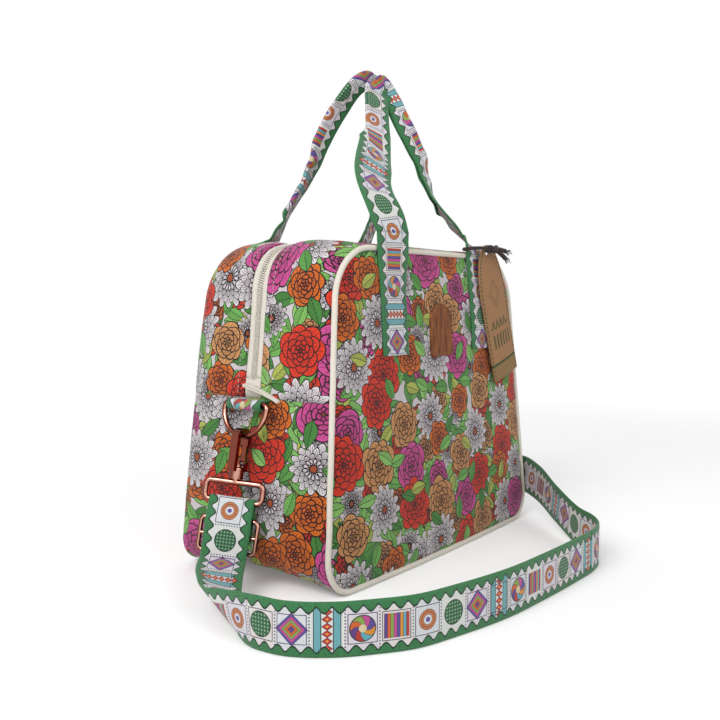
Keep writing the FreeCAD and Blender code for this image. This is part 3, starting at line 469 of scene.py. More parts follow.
def metalMaterial(name, colour, tarnishAndPaintedDark, paintedHighlight, rough=0.2):
    desk = Desk(name)
    spot = desk.scale(desk.place(), 1000.0)
    film = desk.cloud(spot, 0.35, 4.0, 0.6)
    fine = desk.cloud(spot, 3.0, 3.0, 0.6)
    share = desk.calc("MULTIPLY_ADD", fine, 0.35, desk.calc("MULTIPLY", film, 0.45), clamp=True)
    # painted reflection of polished plating in the base colour: a painted highlight where it turns to the eye, painted
    # dark reflection towards the edge
    gloss = desk.add("ShaderNodeLayerWeight")
    gloss.inputs["Blend"].default_value = 0.5
    facing = desk.calc("MULTIPLY_ADD", film, 0.10, desk.calc("SUBTRACT", gloss.outputs["Facing"], 0.05), clamp=True)
    paintedReflection = desk.ramp(facing, [(0.0, paintedHighlight), (0.16, colour), (0.62, tarnishAndPaintedDark)], "EASE")
    # film noise mixes in random tarnish; the same dark colour also stands for the painted dark reflection
    desk.set(Base_Color=desk.mix(desk.calc("MULTIPLY", share, 0.5), paintedReflection, tarnishAndPaintedDark), Metallic=1.0)
    desk.put(desk.calc("MULTIPLY_ADD", film, 0.12, rough - 0.05), desk.shader.inputs["Roughness"])
    desk.bump(fine, 0.00004, 0.4)
    return desk.material


def leatherMaterial():
    desk = Desk("tanLeather")
    spot = desk.scale(desk.layMap(), 1000.0)
    grain = desk.add("ShaderNodeTexVoronoi", voronoi_dimensions="2D", feature="F1")
    desk.put(spot, grain.inputs["Vector"])
    grain.inputs["Scale"].default_value = 0.95
    streak = desk.cloud(desk.vec("MULTIPLY", spot, (0.34, 0.05, 1.0)), 0.9, 5.0, 0.75)
    streak = desk.calc("MULTIPLY_ADD", streak, 2.4, -0.7, clamp=True)
    patches = desk.cloud(spot, 0.12, 3.0)
    colour = desk.mix(streak, tint(58, 26, 11), tint(166, 102, 58))
    colour = desk.mix(desk.calc("MULTIPLY", patches, 0.40), colour, tint(84, 42, 20))
    desk.set(Base_Color=colour, Roughness=0.62)
    desk.shader.inputs["Specular IOR Level"].default_value = 0.2
    desk.bump(desk.calc("MULTIPLY_ADD", grain.outputs["Distance"], 0.8, streak), 0.0002, 0.6)
    return desk.material


def liningMaterial():
    desk = Desk("foilLining")
    spot = desk.scale(desk.layMap(), 1000.0)
    crease = desk.cloud(spot, 0.12, 5.0, 0.65)
    fine = desk.cloud(spot, 1.4, 2.0)
    # paler on the crease ridges and darker in their hollows, following the bump: painted shade and sheen of the
    # crumpled foil
    colour = desk.mix(crease, tint(176, 178, 180), tint(214, 215, 216))
    desk.set(Base_Color=colour, Metallic=0.55)
    desk.put(desk.calc("MULTIPLY_ADD", crease, 0.22, 0.28), desk.shader.inputs["Roughness"])
    desk.bump(desk.calc("MULTIPLY_ADD", fine, 0.25, crease), 0.0012, 0.5)
    return desk.material


def kraftMaterial():
    # card with a printed dashed border, a plain band at the foot and an open diamond
    desk = Desk("kraftCard")
    spot = desk.scale(desk.layMap(), 1000.0)
    u, v, rim = desk.parts(spot)
    # distance from the outline: straight sides, then an arch
    climb = desk.calc("DIVIDE", desk.calc("MAXIMUM", desk.calc("SUBTRACT", v, 70.0), 0.0), 46.0)
    wide = desk.calc("DIVIDE", desk.calc("ABSOLUTE", u), 22.0)
    level = desk.calc("SQRT", desk.calc("MULTIPLY_ADD", wide, wide, desk.calc("MAXIMUM", desk.calc("POWER", climb, 2.2), 0.0001)))
    steep = desk.vec("LENGTH", desk.join(desk.calc("DIVIDE", wide, 22.0), desk.calc("DIVIDE", desk.calc("MULTIPLY", desk.calc("POWER", climb, 1.2), 1.1), 46.0)))
    gap = desk.calc("DIVIDE", desk.calc("MULTIPLY", desk.calc("SUBTRACT", 1.0, level), level), desk.calc("MAXIMUM", steep, 0.004))
    run = desk.calc("SUBTRACT", v, desk.calc("ABSOLUTE", u))
    flecks = desk.cloud(spot, 1.7, 4.0, 0.7)
    fibre = desk.cloud(desk.vec("MULTIPLY", spot, (0.5, 2.2, 1.0)), 1.1, 3.0)
    colour = desk.mix(flecks, tint(138, 100, 66), tint(166, 124, 86))
    colour = desk.mix(desk.calc("MULTIPLY", fibre, 0.35), colour, tint(134, 92, 60))
    green = tint(40, 62, 28)
    dash = desk.calc("LESS_THAN", desk.calc("FRACT", desk.calc("DIVIDE", desk.calc("ADD", run, 88.0), 4.0)), 0.62)
    rail = desk.calc("MULTIPLY", desk.calc("GREATER_THAN", gap, 1.0), desk.calc("LESS_THAN", gap, 2.7))
    foot = desk.calc("LESS_THAN", v, 13.0)
    line = desk.calc("MULTIPLY", desk.calc("GREATER_THAN", v, 13.0), desk.calc("LESS_THAN", v, 15.0))
    colour = desk.mix(desk.calc("MULTIPLY", rail, dash), colour, green)
    colour = desk.mix(desk.calc("MULTIPLY", foot, 0.55), colour, tint(110, 96, 52))
    colour = desk.mix(line, colour, green)
    lozenge = desk.calc("ADD", desk.calc("ABSOLUTE", u), desk.calc("MULTIPLY", desk.calc("ABSOLUTE", desk.calc("SUBTRACT", v, 74.0)), 0.8))
    drawn = desk.calc("MULTIPLY", desk.calc("GREATER_THAN", lozenge, 8.6), desk.calc("LESS_THAN", lozenge, 9.6))
    inner = desk.calc("MULTIPLY", desk.calc("GREATER_THAN", lozenge, 5.4), desk.calc("LESS_THAN", lozenge, 6.0))
    colour = desk.mix(desk.calc("MULTIPLY", desk.calc("MAXIMUM", drawn, inner), 0.8), colour, green)
    # two plain rows of marks
    low = desk.calc("MULTIPLY", desk.calc("GREATER_THAN", v, 27.0), desk.calc("LESS_THAN", v, 39.0))
    bars = desk.calc("MULTIPLY", low, desk.calc("LESS_THAN", desk.calc("FRACT", desk.calc("DIVIDE", desk.calc("ADD", u, 60.0), 5.2)), 0.46))
    peak = desk.calc("ABSOLUTE", desk.calc("SUBTRACT", desk.calc("FRACT", desk.calc("DIVIDE", desk.calc("ADD", u, 60.0), 6.6)), 0.5))
    peak = desk.calc("MULTIPLY_ADD", peak, 18.0, desk.calc("SUBTRACT", v, 44.0))
    peaks = desk.calc("MULTIPLY", desk.calc("LESS_THAN", peak, 9.0), desk.calc("GREATER_THAN", peak, 4.4))
    peaks = desk.calc("MULTIPLY", peaks, desk.calc("GREATER_THAN", v, 44.0))
    marks = desk.calc("MULTIPLY", desk.calc("MAXIMUM", bars, peaks), desk.calc("LESS_THAN", desk.calc("ABSOLUTE", u), 15.2))
    colour = desk.mix(desk.calc("MULTIPLY", marks, 0.9), colour, green)
    desk.set(Base_Color=colour, Roughness=0.85)
    desk.bump(flecks, 0.0001, 0.5)
    return desk.material


def cordMaterial():
    desk = Desk("brownCord")
    spot = desk.scale(desk.layMap(), 1000.0)
    x, y, _ = desk.parts(spot)
    ply = desk.calc("SINE", desk.calc("MULTIPLY_ADD", y, 2.6, desk.calc("MULTIPLY", x, 2.2)))
    hair = desk.cloud(spot, 2.4, 4.0, 0.7)
    colour = desk.mix(desk.calc("MULTIPLY_ADD", ply, 0.25, hair, clamp=True), tint(20, 12, 12), tint(50, 30, 26))
    desk.set(Base_Color=colour, Roughness=0.85, Sheen_Weight=0.2)
    desk.bump(desk.calc("MULTIPLY_ADD", ply, 0.8, hair), 0.0003, 0.8)
    return desk.material


canvas = canvasMaterial()
webbing = webbingMaterial()
cream = clothMaterial("creamPiping", tint(226, 220, 208), tint(192, 184, 168), 0.9)
tapeCloth = clothMaterial("creamTape", tint(222, 216, 205), tint(178, 170, 156), 1.3)
coilPlastic = clothMaterial("creamCoil", tint(226, 221, 210), tint(196, 189, 176), 1.4, 0.42)
thread = clothMaterial("paleThread", tint(196, 186, 180), tint(150, 140, 134), 0.4)
greenThread = clothMaterial("greenThread", tint(60, 120, 78), tint(34, 84, 50), 0.4)
tanThread = clothMaterial("tanThread", tint(150, 104, 66), tint(110, 70, 42), 0.4)
# second colour: tarnish and painted dark reflection; third colour: painted highlight where the metal faces the eye
roseGold = metalMaterial("roseGold", tint(150, 82, 66), tint(70, 30, 24), tint(232, 176, 156), 0.09)
springSteel = metalMaterial("springSteel", tint(176, 172, 168), tint(104, 98, 96), tint(222, 220, 216), 0.24)
leather = leatherMaterial()
lining = liningMaterial()
kraft = kraftMaterial()
cordTwist = cordMaterial()
print("stage: materials wired")


# ---- mesh makers
def piece(name, verts, faces, layout, material, smooth=True):
    mesh = bpy.data.meshes.new(name)
    mesh.from_pydata([tuple(map(float, p)) for p in verts], [], faces)
    lay = mesh.uv_layers.new(name="lay")
    spots = np.array([v.vertex_index for v in mesh.loops])
    lay.data.foreach_set("uv", np.asarray(layout, np.float32)[spots].ravel())
    work = bmesh.new()
    work.from_mesh(mesh)
    bmesh.ops.recalc_face_normals(work, faces=work.faces)
    work.to_mesh(mesh)
    work.free()
    mesh.polygons.foreach_set("use_smooth", [smooth] * len(mesh.polygons))
    mesh.materials.append(material)
    made = bpy.data.objects.new(name, mesh)
    scene.collection.objects.link(made)
    return made


def gridFaces(rows, cols, base=0, flip=False, wrap=False):
    faces = []
    for i in range(rows - 1 + (1 if wrap else 0)):
        for j in range(cols - 1):
            a = base + i * cols + j
            b = base + ((i + 1) % rows) * cols + j
            face = (a, a + 1, b + 1, b)
            faces.append(face[::-1] if flip else face)
    return faces


def shell(name, outer, inner, layout, material):
    # two faces of the same grid, closed round the border
    rows, cols = outer.shape[:2]
    verts = np.concatenate([outer.reshape(-1, 3), inner.reshape(-1, 3)])
    count = rows * cols
    faces = gridFaces(rows, cols) + gridFaces(rows, cols, count, True)
    border = [j for j in range(cols)] + [i * cols + cols - 1 for i in range(1, rows)]
    border += [(rows - 1) * cols + j for j in range(cols - 2, -1, -1)] + [i * cols for i in range(rows - 2, 0, -1)]
    for k, a in enumerate(border):
        b = border[(k + 1) % len(border)]
        faces.append((b, a, a + count, b + count))
    made = piece(name, verts, faces, np.concatenate([layout.reshape(-1, 2)] * 2), material)
    for face in made.data.polygons[2 * (rows - 1) * (cols - 1):]:
        face.use_smooth = False
    return made


def gridNormals(grid):
    along = np.gradient(grid, axis=0)
    over = np.gradient(grid, axis=1)
    normal = np.cross(along, over)
    return normal / np.maximum(np.linalg.norm(normal, axis=2, keepdims=True), 1e-12)


def webbingShell(name, grid, layout, material, thickness=0.0017, normals=None):
    # webbing with rounded selvedges: columns run from edge to edge
    normal = gridNormals(grid) if normals is None else normals
    cols = grid.shape[1]
    fall = np.ones(cols)
    fall[[0, -1]] = 0.25
    fall[[1, -2]] = 0.85
    offset = normal * (thickness / 2.0) * fall[None, :, None]
    return shell(name, grid + offset, grid - offset, layout, material)


def tube(name, line, radius, material, sides=10, closed=False, twist=0.0, lumps=None):
    line = np.asarray(line, float)
    count = len(line)
    if closed:
        ways = np.roll(line, -1, 0) - np.roll(line, 1, 0)
    else:
        ways = np.gradient(line, axis=0)
    ways /= np.linalg.norm(ways, axis=1, keepdims=True)
    side = np.cross(ways[0], [0.0, 0.0, 1.0])
    if np.linalg.norm(side) < 1e-3:
        side = np.cross(ways[0], [0.0, 1.0, 0.0])
    side /= np.linalg.norm(side)
    verts, layout = [], []
    run = 0.0
    radius = np.broadcast_to(np.asarray(radius, float), (count,))
    for k in range(count):
        side = side - ways[k] * side.dot(ways[k])
        side /= np.linalg.norm(side)
        up = np.cross(ways[k], side)
        if k:
            run += np.linalg.norm(line[k] - line[k - 1])
        for m in range(sides):
            a = 2.0 * math.pi * m / sides + twist * run
            grow = 1.0 if lumps is None else 1.0 + lumps * abs(math.cos(1.5 * 2.0 * math.pi * m / sides))
            verts.append(line[k] + (side * math.cos(a) + up * math.sin(a)) * radius[k] * grow)
            layout.append((radius[k] * 2.0 * math.pi * m / sides, run))
    faces = []
    for k in range(count if closed else count - 1):
        nextRing = (k + 1) % count
        for m in range(sides):
            n = (m + 1) % sides
            faces.append((k * sides + m, k * sides + n, nextRing * sides + n, nextRing * sides + m))
    if not closed:
        faces.append(tuple(range(sides))[::-1])
        faces.append(tuple((count - 1) * sides + m for m in range(sides)))
    return piece(name, verts, faces, layout, material)


def evenLine(points, step):
    # smooth line through the points, sampled at an even step
    pts = np.asarray(points, float)
    full = np.concatenate([[2 * pts[0] - pts[1]], pts, [2 * pts[-1] - pts[-2]]])
    dense = []
    for k in range(1, len(full) - 2):
        p0, p1, p2, p3 = full[k - 1:k + 3]
        d1 = max(np.linalg.norm(p1 - p0), 1e-9) ** 0.5
        d2 = max(np.linalg.norm(p2 - p1), 1e-9) ** 0.5
        d3 = max(np.linalg.norm(p3 - p2), 1e-9) ** 0.5
        m1 = (p1 - p0) / d1 - (p2 - p0) / (d1 + d2) + (p2 - p1) / d2
        m2 = (p2 - p1) / d2 - (p3 - p1) / (d2 + d3) + (p3 - p2) / d3
        m1, m2 = m1 * d2, m2 * d2
        for t in np.linspace(0.0, 1.0, 24, endpoint=False):
            dense.append((2 * t**3 - 3 * t**2 + 1) * p1 + (t**3 - 2 * t**2 + t) * m1
                         + (3 * t**2 - 2 * t**3) * p2 + (t**3 - t**2) * m2)
    dense.append(pts[-1])
    dense = np.array(dense)
    run = np.concatenate([[0.0], np.cumsum(np.linalg.norm(np.diff(dense, axis=0), axis=1))])
    count = max(2, int(round(run[-1] / step)) + 1)
    at = np.linspace(0.0, run[-1], count)
    return np.stack([np.interp(at, run, dense[:, a]) for a in range(dense.shape[1])], axis=1)


def runOf(line):
    return np.concatenate([[0.0], np.cumsum(np.linalg.norm(np.diff(line, axis=0), axis=1))])


def stitches(name, line, normals, material, length=0.0026, gap=0.0011, radius=0.00030):
    # a row of sewn stitches: short rounded pills that dip into the cloth at both ends
    line = np.asarray(line, float)
    run = runOf(line)
    verts, faces, layout = [], [], []
    start = gap
    while start + length < run[-1]:
        rings = []
        for t, swell, rise in ((0.0, 0.35, -0.5), (0.2, 0.9, 0.25), (0.5, 1.0, 0.6), (0.8, 0.9, 0.25), (1.0, 0.35, -0.5)):
            s = start + t * length
            centre = np.array([np.interp(s, run, line[:, a]) for a in range(3)])
            ahead = np.array([np.interp(s + 0.0004, run, line[:, a]) for a in range(3)]) - centre
            normal = np.array([np.interp(s, run, normals[:, a]) for a in range(3)])
            way = ahead / max(np.linalg.norm(ahead), 1e-9)
            over = np.cross(way, normal)
            base = len(verts)
            for m in range(6):
                a = 2.0 * math.pi * m / 6
                verts.append(centre + normal * radius * rise + (over * math.cos(a) + normal * math.sin(a)) * radius * swell)
                layout.append((a * radius, s))
            rings.append(base)
        for p, q in zip(rings, rings[1:]):
            for m in range(6):
                n = (m + 1) % 6
                faces.append((p + m, p + n, q + n, q + m))
        faces.append(tuple(rings[0] + m for m in range(5, -1, -1)))
        faces.append(tuple(rings[-1] + m for m in range(6)))
        start += length + gap
    return piece(name, verts, faces, layout, material)


# ---- outline of the bag seen from the front
def reachAt(z, inset):
    return bagCut["baseWidth"] / 2.0 - sideSlope * z - inset * math.hypot(1.0, sideSlope)


def cornerArc(corner, before, after, radius, step):
    into = (before - corner) / np.linalg.norm(before - corner)
    out = (after - corner) / np.linalg.norm(after - corner)
    half = math.acos(max(-1.0, min(1.0, float(into @ out)))) / 2.0
    middle = (into + out) / np.linalg.norm(into + out)
    centre = corner + middle * (radius / math.sin(half))
    start = corner + into * (radius / math.tan(half))
    end = corner + out * (radius / math.tan(half))
    a0 = math.atan2(*(start - centre)[::-1])
    a1 = math.atan2(*(end - centre)[::-1])
    while a1 < a0:
        a1 += 2.0 * math.pi
    count = max(4, int(math.ceil((a1 - a0) * radius / step)))
    angles = np.linspace(a0, a1, count + 1)
    return centre + radius * np.stack([np.cos(angles), np.sin(angles)], axis=1)


def outlineRuns(inset, tall, floor, step=0.0035):
    # lower run from the left seam down and round to the right seam, upper run back over the top
    top = tall - inset
    corners = [np.array(p) for p in ((reachAt(floor, inset), floor), (reachAt(top, inset), top),
                                     (-reachAt(top, inset), top), (-reachAt(floor, inset), floor))]
    radii = [bagCut["bottomRadius"] - inset, bagCut["topRadius"] - inset]
    radii = [radii[0], radii[1], radii[1], radii[0]]
    arcs = [cornerArc(corners[k], corners[k - 1], corners[(k + 1) % 4], radii[k], step) for k in range(4)]
    seam = bagCut["seamHeight"]
    right = np.array((reachAt(seam, inset), seam))
    left = np.array((-reachAt(seam, inset), seam))

    def straight(a, b):
        count = max(1, int(round(np.linalg.norm(b - a) / step)))
        return a + (b - a) * np.linspace(0.0, 1.0, count + 1)[:, None]

    def chain(*runs):
        line = runs[0]
        for run in runs[1:]:
            line = np.concatenate([line, run[1:]])
        return line

    lower = chain(straight(left, arcs[3][0]), arcs[3], straight(arcs[3][-1], arcs[0][0]), arcs[0], straight(arcs[0][-1], right))
    upper = chain(straight(right, arcs[1][0]), arcs[1], straight(arcs[1][-1], arcs[2][0]), arcs[2], straight(arcs[2][-1], left))
    return lower, upper


def outward(line):
    ways = np.gradient(line, axis=0)
    ways /= np.linalg.norm(ways, axis=1, keepdims=True)
    return np.stack([ways[:, 1], -ways[:, 0]], axis=1)


# ---- panels
def smoothStep(value, low, high):
    t = np.clip((value - low) / (high - low), 0.0, 1.0)
    return t * t * (3.0 - 2.0 * t)


def footBow(x, z, side):
    # the loaded foot stands out, and the rear settles back a little
    wide = np.clip(1.0 - (np.asarray(x, float) / 0.147) ** 2, 0.0, None)
    low = np.clip(1.0 - np.asarray(z, float) / 0.165, 0.0, 1.0)
    back = bagCut["rearBack"] * (1.0 - 0.6 * smoothStep(np.asarray(z, float), 0.150, 0.232)) if side > 0 else 0.0
    return bagCut["footBow"] * wide * low**1.5 + back


def panelPoint(x, depth, h, side):
    # panel coordinates to the bag: side -1 is the front
    y = -bagCut["baseDepth"] / 2.0 + depth * math.cos(leanAngle) + h * math.sin(leanAngle)
    z = -depth * math.sin(leanAngle) + h * math.cos(leanAngle)
    y = y - footBow(x, z, side)
    return np.stack(np.broadcast_arrays(x, y * -side, z), axis=-1)


def panelNormal(side):
    return np.array([0.0, math.cos(leanAngle) * side, math.sin(leanAngle)])


panelForm = {"inset": 0.0046, "crown": 0.0028, "dip": 0.0022, "dipReach": 0.0035, "waves": 0.0009, "columns": 76,
             "rearTuck": 0.0072}
lowerEdge, upperEdge = outlineRuns(panelForm["inset"], panelHeight, panelForm["inset"])
panelEdge = np.concatenate([lowerEdge, upperEdge[1:-1]])


def panelDepth(x, h):
    # how far behind (+) or in front (-) of the flat panel the cloth lies
    x, h = np.broadcast_arrays(np.asarray(x, float), np.asarray(h, float))
    flat = np.stack([x.ravel(), h.ravel()], axis=1)
    gap = np.sqrt(((flat[:, None, :] - panelEdge[None, :, :]) ** 2).sum(2)).min(1)
    rise = panelForm["crown"] * (1.0 - np.exp(-gap / 0.035)) - panelForm["dip"] * np.exp(-gap / panelForm["dipReach"])
    wave = np.array([noise.noise(Vector((px * 16.0, ph * 13.0, 2.7))) for px, ph in flat])
    rise += wave * panelForm["waves"] * (1.0 - np.exp(-gap / 0.02))
    return -rise.reshape(x.shape)


def halfWidthAt(h):
    right = np.concatenate([lowerEdge[len(lowerEdge) // 2:], upperEdge[1:len(upperEdge) // 2]])
    keep = np.concatenate([[True], np.diff(right[:, 1]) > 1e-7])
    first = int(np.argmax(right[:, 1] > right[0, 1] + 1e-7)) - 1
    keep[:first] = False
    keep[first] = True
    return np.interp(h, right[keep, 1], right[keep, 0])


def panelRows():
    low, high = panelForm["inset"], panelHeight - panelForm["inset"]
    bottom = bagCut["bottomRadius"] - panelForm["inset"]
    top = bagCut["topRadius"] - panelForm["inset"]
    turn = np.linspace(0.0, math.pi / 2.0, 12)
    first = low + bottom * (1.0 - np.cos(turn))
    last = high - top * (1.0 - np.cos(turn))[::-1]
    middle = np.linspace(first[-1], last[0], 42)[1:-1]
    return np.concatenate([first, middle, last])


rows = panelRows()
share = np.linspace(-1.0, 1.0, panelForm["columns"])
share = np.sign(share) * (1.0 - (1.0 - np.abs(share)) ** 1.25)
gridX = halfWidthAt(rows)[:, None] * share[None, :]
gridH = np.repeat(rows[:, None], len(share), axis=1)
gridDepth = panelDepth(gridX, gridH)
frontGrid = gridX
for label, side in flaps.items():
    shift = 0.0 if side < 0 else 0.613
    # the sides roll round the rear panel, so it is a little narrower there
    half = np.abs(frontGrid).max(axis=1, keepdims=True)
    gridX = frontGrid if side < 0 else frontGrid * (half - panelForm["rearTuck"]) / half
    outer = panelPoint(gridX, gridDepth, gridH, side)
    inner = panelPoint(gridX, np.full_like(gridX, bagCut["wall"] - 0.0001), gridH, side)
    panel = shell(label + "Panel", outer, inner, np.stack([gridX + shift, gridH], axis=-1), canvas)
    back = panelPoint(gridX, np.full_like(gridX, bagCut["wall"]), gridH, side)
    ripple = np.array([noise.noise(Vector((x * 30.0, h * 26.0, 8.0 + side))) for x, h in zip(gridX.ravel(), gridH.ravel())])
    foil = panelPoint(gridX, bagCut["wall"] + bagCut["lining"] + 0.0006 * np.abs(ripple.reshape(gridX.shape)), gridH, side)
    liner = shell(label + "Lining", back, foil, np.stack([gridX + shift, gridH], axis=-1), lining)
    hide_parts(label + "_panel_upper", label + "_panel_lower", label + "_foam_upper", label + "_foam_lower")
    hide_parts(label + "_lining_upper", label + "_lining_lower")
    for made in (panel, liner):
        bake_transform(made)

# ---- piping round both panels
pipingForm = {"sides": 14, "pucker": 0.05, "radius": 0.0021, "wander": 0.0004}
pipeLower, pipeUpper = outlineRuns(bagCut["pipingRadius"], panelHeight, bagCut["pipingRadius"], 0.0026)
pipeLine = np.concatenate([pipeLower, pipeUpper[1:-1]])
for label, side in flaps.items():
    tuckIn = panelForm["rearTuck"] * np.clip(np.abs(pipeLine[:, 0]) / 0.12, 0.0, 1.0) ** 4 if side > 0 else 0.0
    line = panelPoint(pipeLine[:, 0] - np.sign(pipeLine[:, 0]) * tuckIn, np.full(len(pipeLine), pipingForm["radius"]), pipeLine[:, 1], side)
    line += np.array([[pipingForm["wander"] * noise.noise(Vector((k * 0.11, side, q))) for q in (3.0, 5.0, 7.0)] for k in range(len(line))])
    line[:, 2] = np.maximum(line[:, 2], pipingForm["radius"] * 1.02)
    swell = np.array([1.0 + pipingForm["pucker"] * noise.noise(Vector((k * 0.55, side, 0.0))) for k in range(len(line))])
    piping = tube(label + "Piping", line, pipingForm["radius"] * swell, cream, pipingForm["sides"], closed=True)
    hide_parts(label + "_piping_upper", label + "_piping_lower")
    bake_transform(piping)
print("stage: panels and piping sewn")

# ---- gusset: lower strip in one length, zip strips above the seam
gussetForm = {"tuck": 0.0034, "puff": 0.0078, "cornerPuff": 0.0085, "topPuff": 0.0045, "bow": 0.0085, "waves": 0.0016, "seamDip": 0.0014,
              "roll": 0.0065, "rollFrom": 0.93, "columns": 38}


def seamY(z):
    return -bagCut["baseDepth"] / 2.0 + gussetForm["tuck"] + panelSlope * z


def gussetPoint(x, z, nx, nz, y, drop):
    # a place on the gusset: (x, z) on the outline with its outward way, y across the bag
    t = max(-1.0, min(1.0, y / abs(seamY(z))))
    rise = float(smoothStep(z, 0.004, 0.055))
    up = max(0.0, nz)
    puff = gussetForm["puff"] * nx**4 + gussetForm["cornerPuff"] * (2.0 * abs(nx) * up) ** 1.6
    # over the top the strips stand up on both sides of the zip
    puff += gussetForm["topPuff"] * up**3 * (1.0 - math.exp(-((y / 0.012) ** 2)))
    puff *= rise * (1.0 - abs(t) ** 5)
    if x > 0.0:
        # the closed zip holds the right side in
        puff *= 1.0 - math.exp(-((y / 0.020) ** 2)) * float(smoothStep(z, 0.125, 0.150)) * nx * nx
    dent = noise.noise(Vector((x * 15.0, y * 22.0, z * 17.0))) + 0.5 * noise.noise(Vector((x * 40.0, y * 48.0, z * 40.0 + 3.0)))
    swell = puff + gussetForm["waves"] * dent * (1.0 - t**4) * rise * (0.35 if x > 0.0 and z > 0.13 else 1.0)
    swell -= gussetForm["seamDip"] * math.exp(-abs(z - bagCut["seamHeight"]) / 0.003) * (1.0 - t**8)
    low = max(0.0, min(1.0, (0.024 - z) / 0.023))
    bow = gussetForm["bow"] * low**1.3 * (1.0 - t * t) * (1.0 - 0.35 * min(1.0, abs(x) / 0.15) ** 6)
    out = float(footBow(x, z, 1.0 if y > 0.0 else -1.0))
    way = y + (out if y > 0.0 else -out) * float(smoothStep(abs(t), 0.1, 1.0))
    # the sides roll round towards the rear panel
    turn = math.radians(88.0) * max(0.0, (t - gussetForm["rollFrom"]) / (1.0 - gussetForm["rollFrom"]))
    share = nx * nx * rise
    swell -= gussetForm["roll"] * (1.0 - math.cos(turn)) * share
    way += (gussetForm["roll"] * math.sin(turn) - max(0.0, t - gussetForm["rollFrom"]) * abs(seamY(z))) * share
    return (x + nx * (swell - drop), way, z + nz * (swell - drop) + bow)


def gussetGrid(line, near, far, columns, drop=0.0, flip=1.0):
    # rows along the run, columns from one seam towards the other
    normal = outward(line)
    grid = np.zeros((len(line), columns, 3))
    lay = np.zeros((len(line), columns, 2))
    run = runOf(line)
    for i, (x, z) in enumerate(line):
        y0, y1 = near(z), far(z)
        for j in range(columns):
            share = j / (columns - 1.0)
            if y0 < -0.05 < 0.05 < y1:
                share = 0.5 + 0.5 * math.sin(math.pi * (share - 0.5)) * 0.55 + (share - 0.5) * 0.45
            y = y0 + (y1 - y0) * share
            grid[i, j] = gussetPoint(x, z, normal[i, 0], normal[i, 1], y * flip, drop)
            lay[i, j] = (y, run[i])
    return grid, lay


gussetLower, gussetUpper = outlineRuns(bagCut["pipingProud"], bagCut["height"], 0.0)
outer, lay = gussetGrid(gussetLower, seamY, lambda z: -seamY(z), gussetForm["columns"])
inner, _ = gussetGrid(gussetLower, seamY, lambda z: -seamY(z), gussetForm["columns"], bagCut["wall"])
lowerGusset = shell("lowerGusset", outer, inner, lay + np.array([0.25, 1.13]), canvas)
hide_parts("lower_gusset", "lower_gusset_foam")
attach(lowerGusset, "bag")
foil, _ = gussetGrid(gussetLower, seamY, lambda z: -seamY(z), gussetForm["columns"], bagCut["wall"] + bagCut["lining"])
gussetFoil = shell("lowerGussetLining", inner, foil, lay + np.array([0.25, 1.13]), lining)
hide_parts("lower_gusset_lining")
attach(gussetFoil, "bag")

zipForm = {"window": 0.0074, "tapeEdge": 0.01355, "foamEdge": 0.0148, "tapeDrop": 0.0010, "tapeThick": 0.0008,
           "endHeight": 0.1415, "coilPitch": 0.0017, "coilReach": 0.00125, "coilRise": 0.00080, "coilWire": 0.00040}
tapeRun = gussetUpper[(gussetUpper[:, 1] > zipForm["endHeight"])]
for label, side in flaps.items():
    # fabric strip with foam, thin where it lies over the tape
    flip = -side
    outer, lay = gussetGrid(gussetUpper, seamY, lambda z: -zipForm["window"], 22, flip=flip)
    thick = np.where(np.abs(outer[:, :, 1]) > zipForm["foamEdge"], bagCut["wall"], 0.0009)
    normal = outward(gussetUpper)
    inner = outer.copy()
    inner[:, :, 0] -= normal[:, 0][:, None] * thick
    inner[:, :, 2] -= normal[:, 1][:, None] * thick
    foilTop, foilLay = gussetGrid(gussetUpper, seamY, lambda z: -zipForm["foamEdge"], 16, bagCut["wall"], flip)
    foilLow, _ = gussetGrid(gussetUpper, seamY, lambda z: -zipForm["foamEdge"], 16, bagCut["wall"] + bagCut["lining"], flip)
    tapeTop, tapeLay = gussetGrid(tapeRun, lambda z: -zipForm["tapeEdge"], lambda z: -0.0004, 8, zipForm["tapeDrop"], flip)
    tapeLow, _ = gussetGrid(tapeRun, lambda z: -zipForm["tapeEdge"], lambda z: -0.0004, 8, zipForm["tapeDrop"] + zipForm["tapeThick"], flip)
    # coil: one long wire wound along the tape's edge
    bed, _ = gussetGrid(tapeRun, lambda z: -0.00135, lambda z: -0.0004, 2, zipForm["tapeDrop"], flip)
    middle = evenLine(bed[:, 0], zipForm["coilPitch"] / 9.0)
    way = np.gradient(middle, axis=0)
    way /= np.linalg.norm(way, axis=1, keepdims=True)
    lift = np.cross(np.array([0.0, 1.0, 0.0]), way)
    lift *= np.sign((lift * (middle - np.array([0.0, 0.0, 0.1]))).sum(1, keepdims=True))
    turn = 2.0 * math.pi * runOf(middle) / zipForm["coilPitch"] + (0.0 if side < 0 else math.pi)
    coilLine = middle + lift * (zipForm["coilRise"] * (1.0 + np.sin(turn)))[:, None]
    coilLine[:, 1] += zipForm["coilReach"] * np.cos(turn)
    # topstitch beside the zip
    sewn = outer[:, -4] * 0.35 + outer[:, -3] * 0.65
    sewnNormal = np.stack([normal[:, 0], np.zeros(len(normal)), normal[:, 1]], axis=1)
    strip = shell(label + "ZipStrip", outer, inner, lay * np.array([-side, 1.0]) + np.array([0.9, 0.4 + 0.3 * side]), canvas)
    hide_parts(label + "_zip_strip", label + "_zip_foam")
    foilStrip = shell(label + "ZipLining", foilTop, foilLow, foilLay, lining)
    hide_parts(label + "_zip_lining")
    tape = shell(label + "ZipTape", tapeTop, tapeLow, tapeLay, tapeCloth)
    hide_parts(label + "_zip_tape")
    coil = tube(label + "ZipCoil", coilLine, zipForm["coilWire"], coilPlastic, 5)
    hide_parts(label + "_zip_coil")
    seam = stitches(label + "ZipStitch", sewn, sewnNormal, thread)
    for made in (strip, foilStrip, tape, coil, seam):
        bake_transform(made)

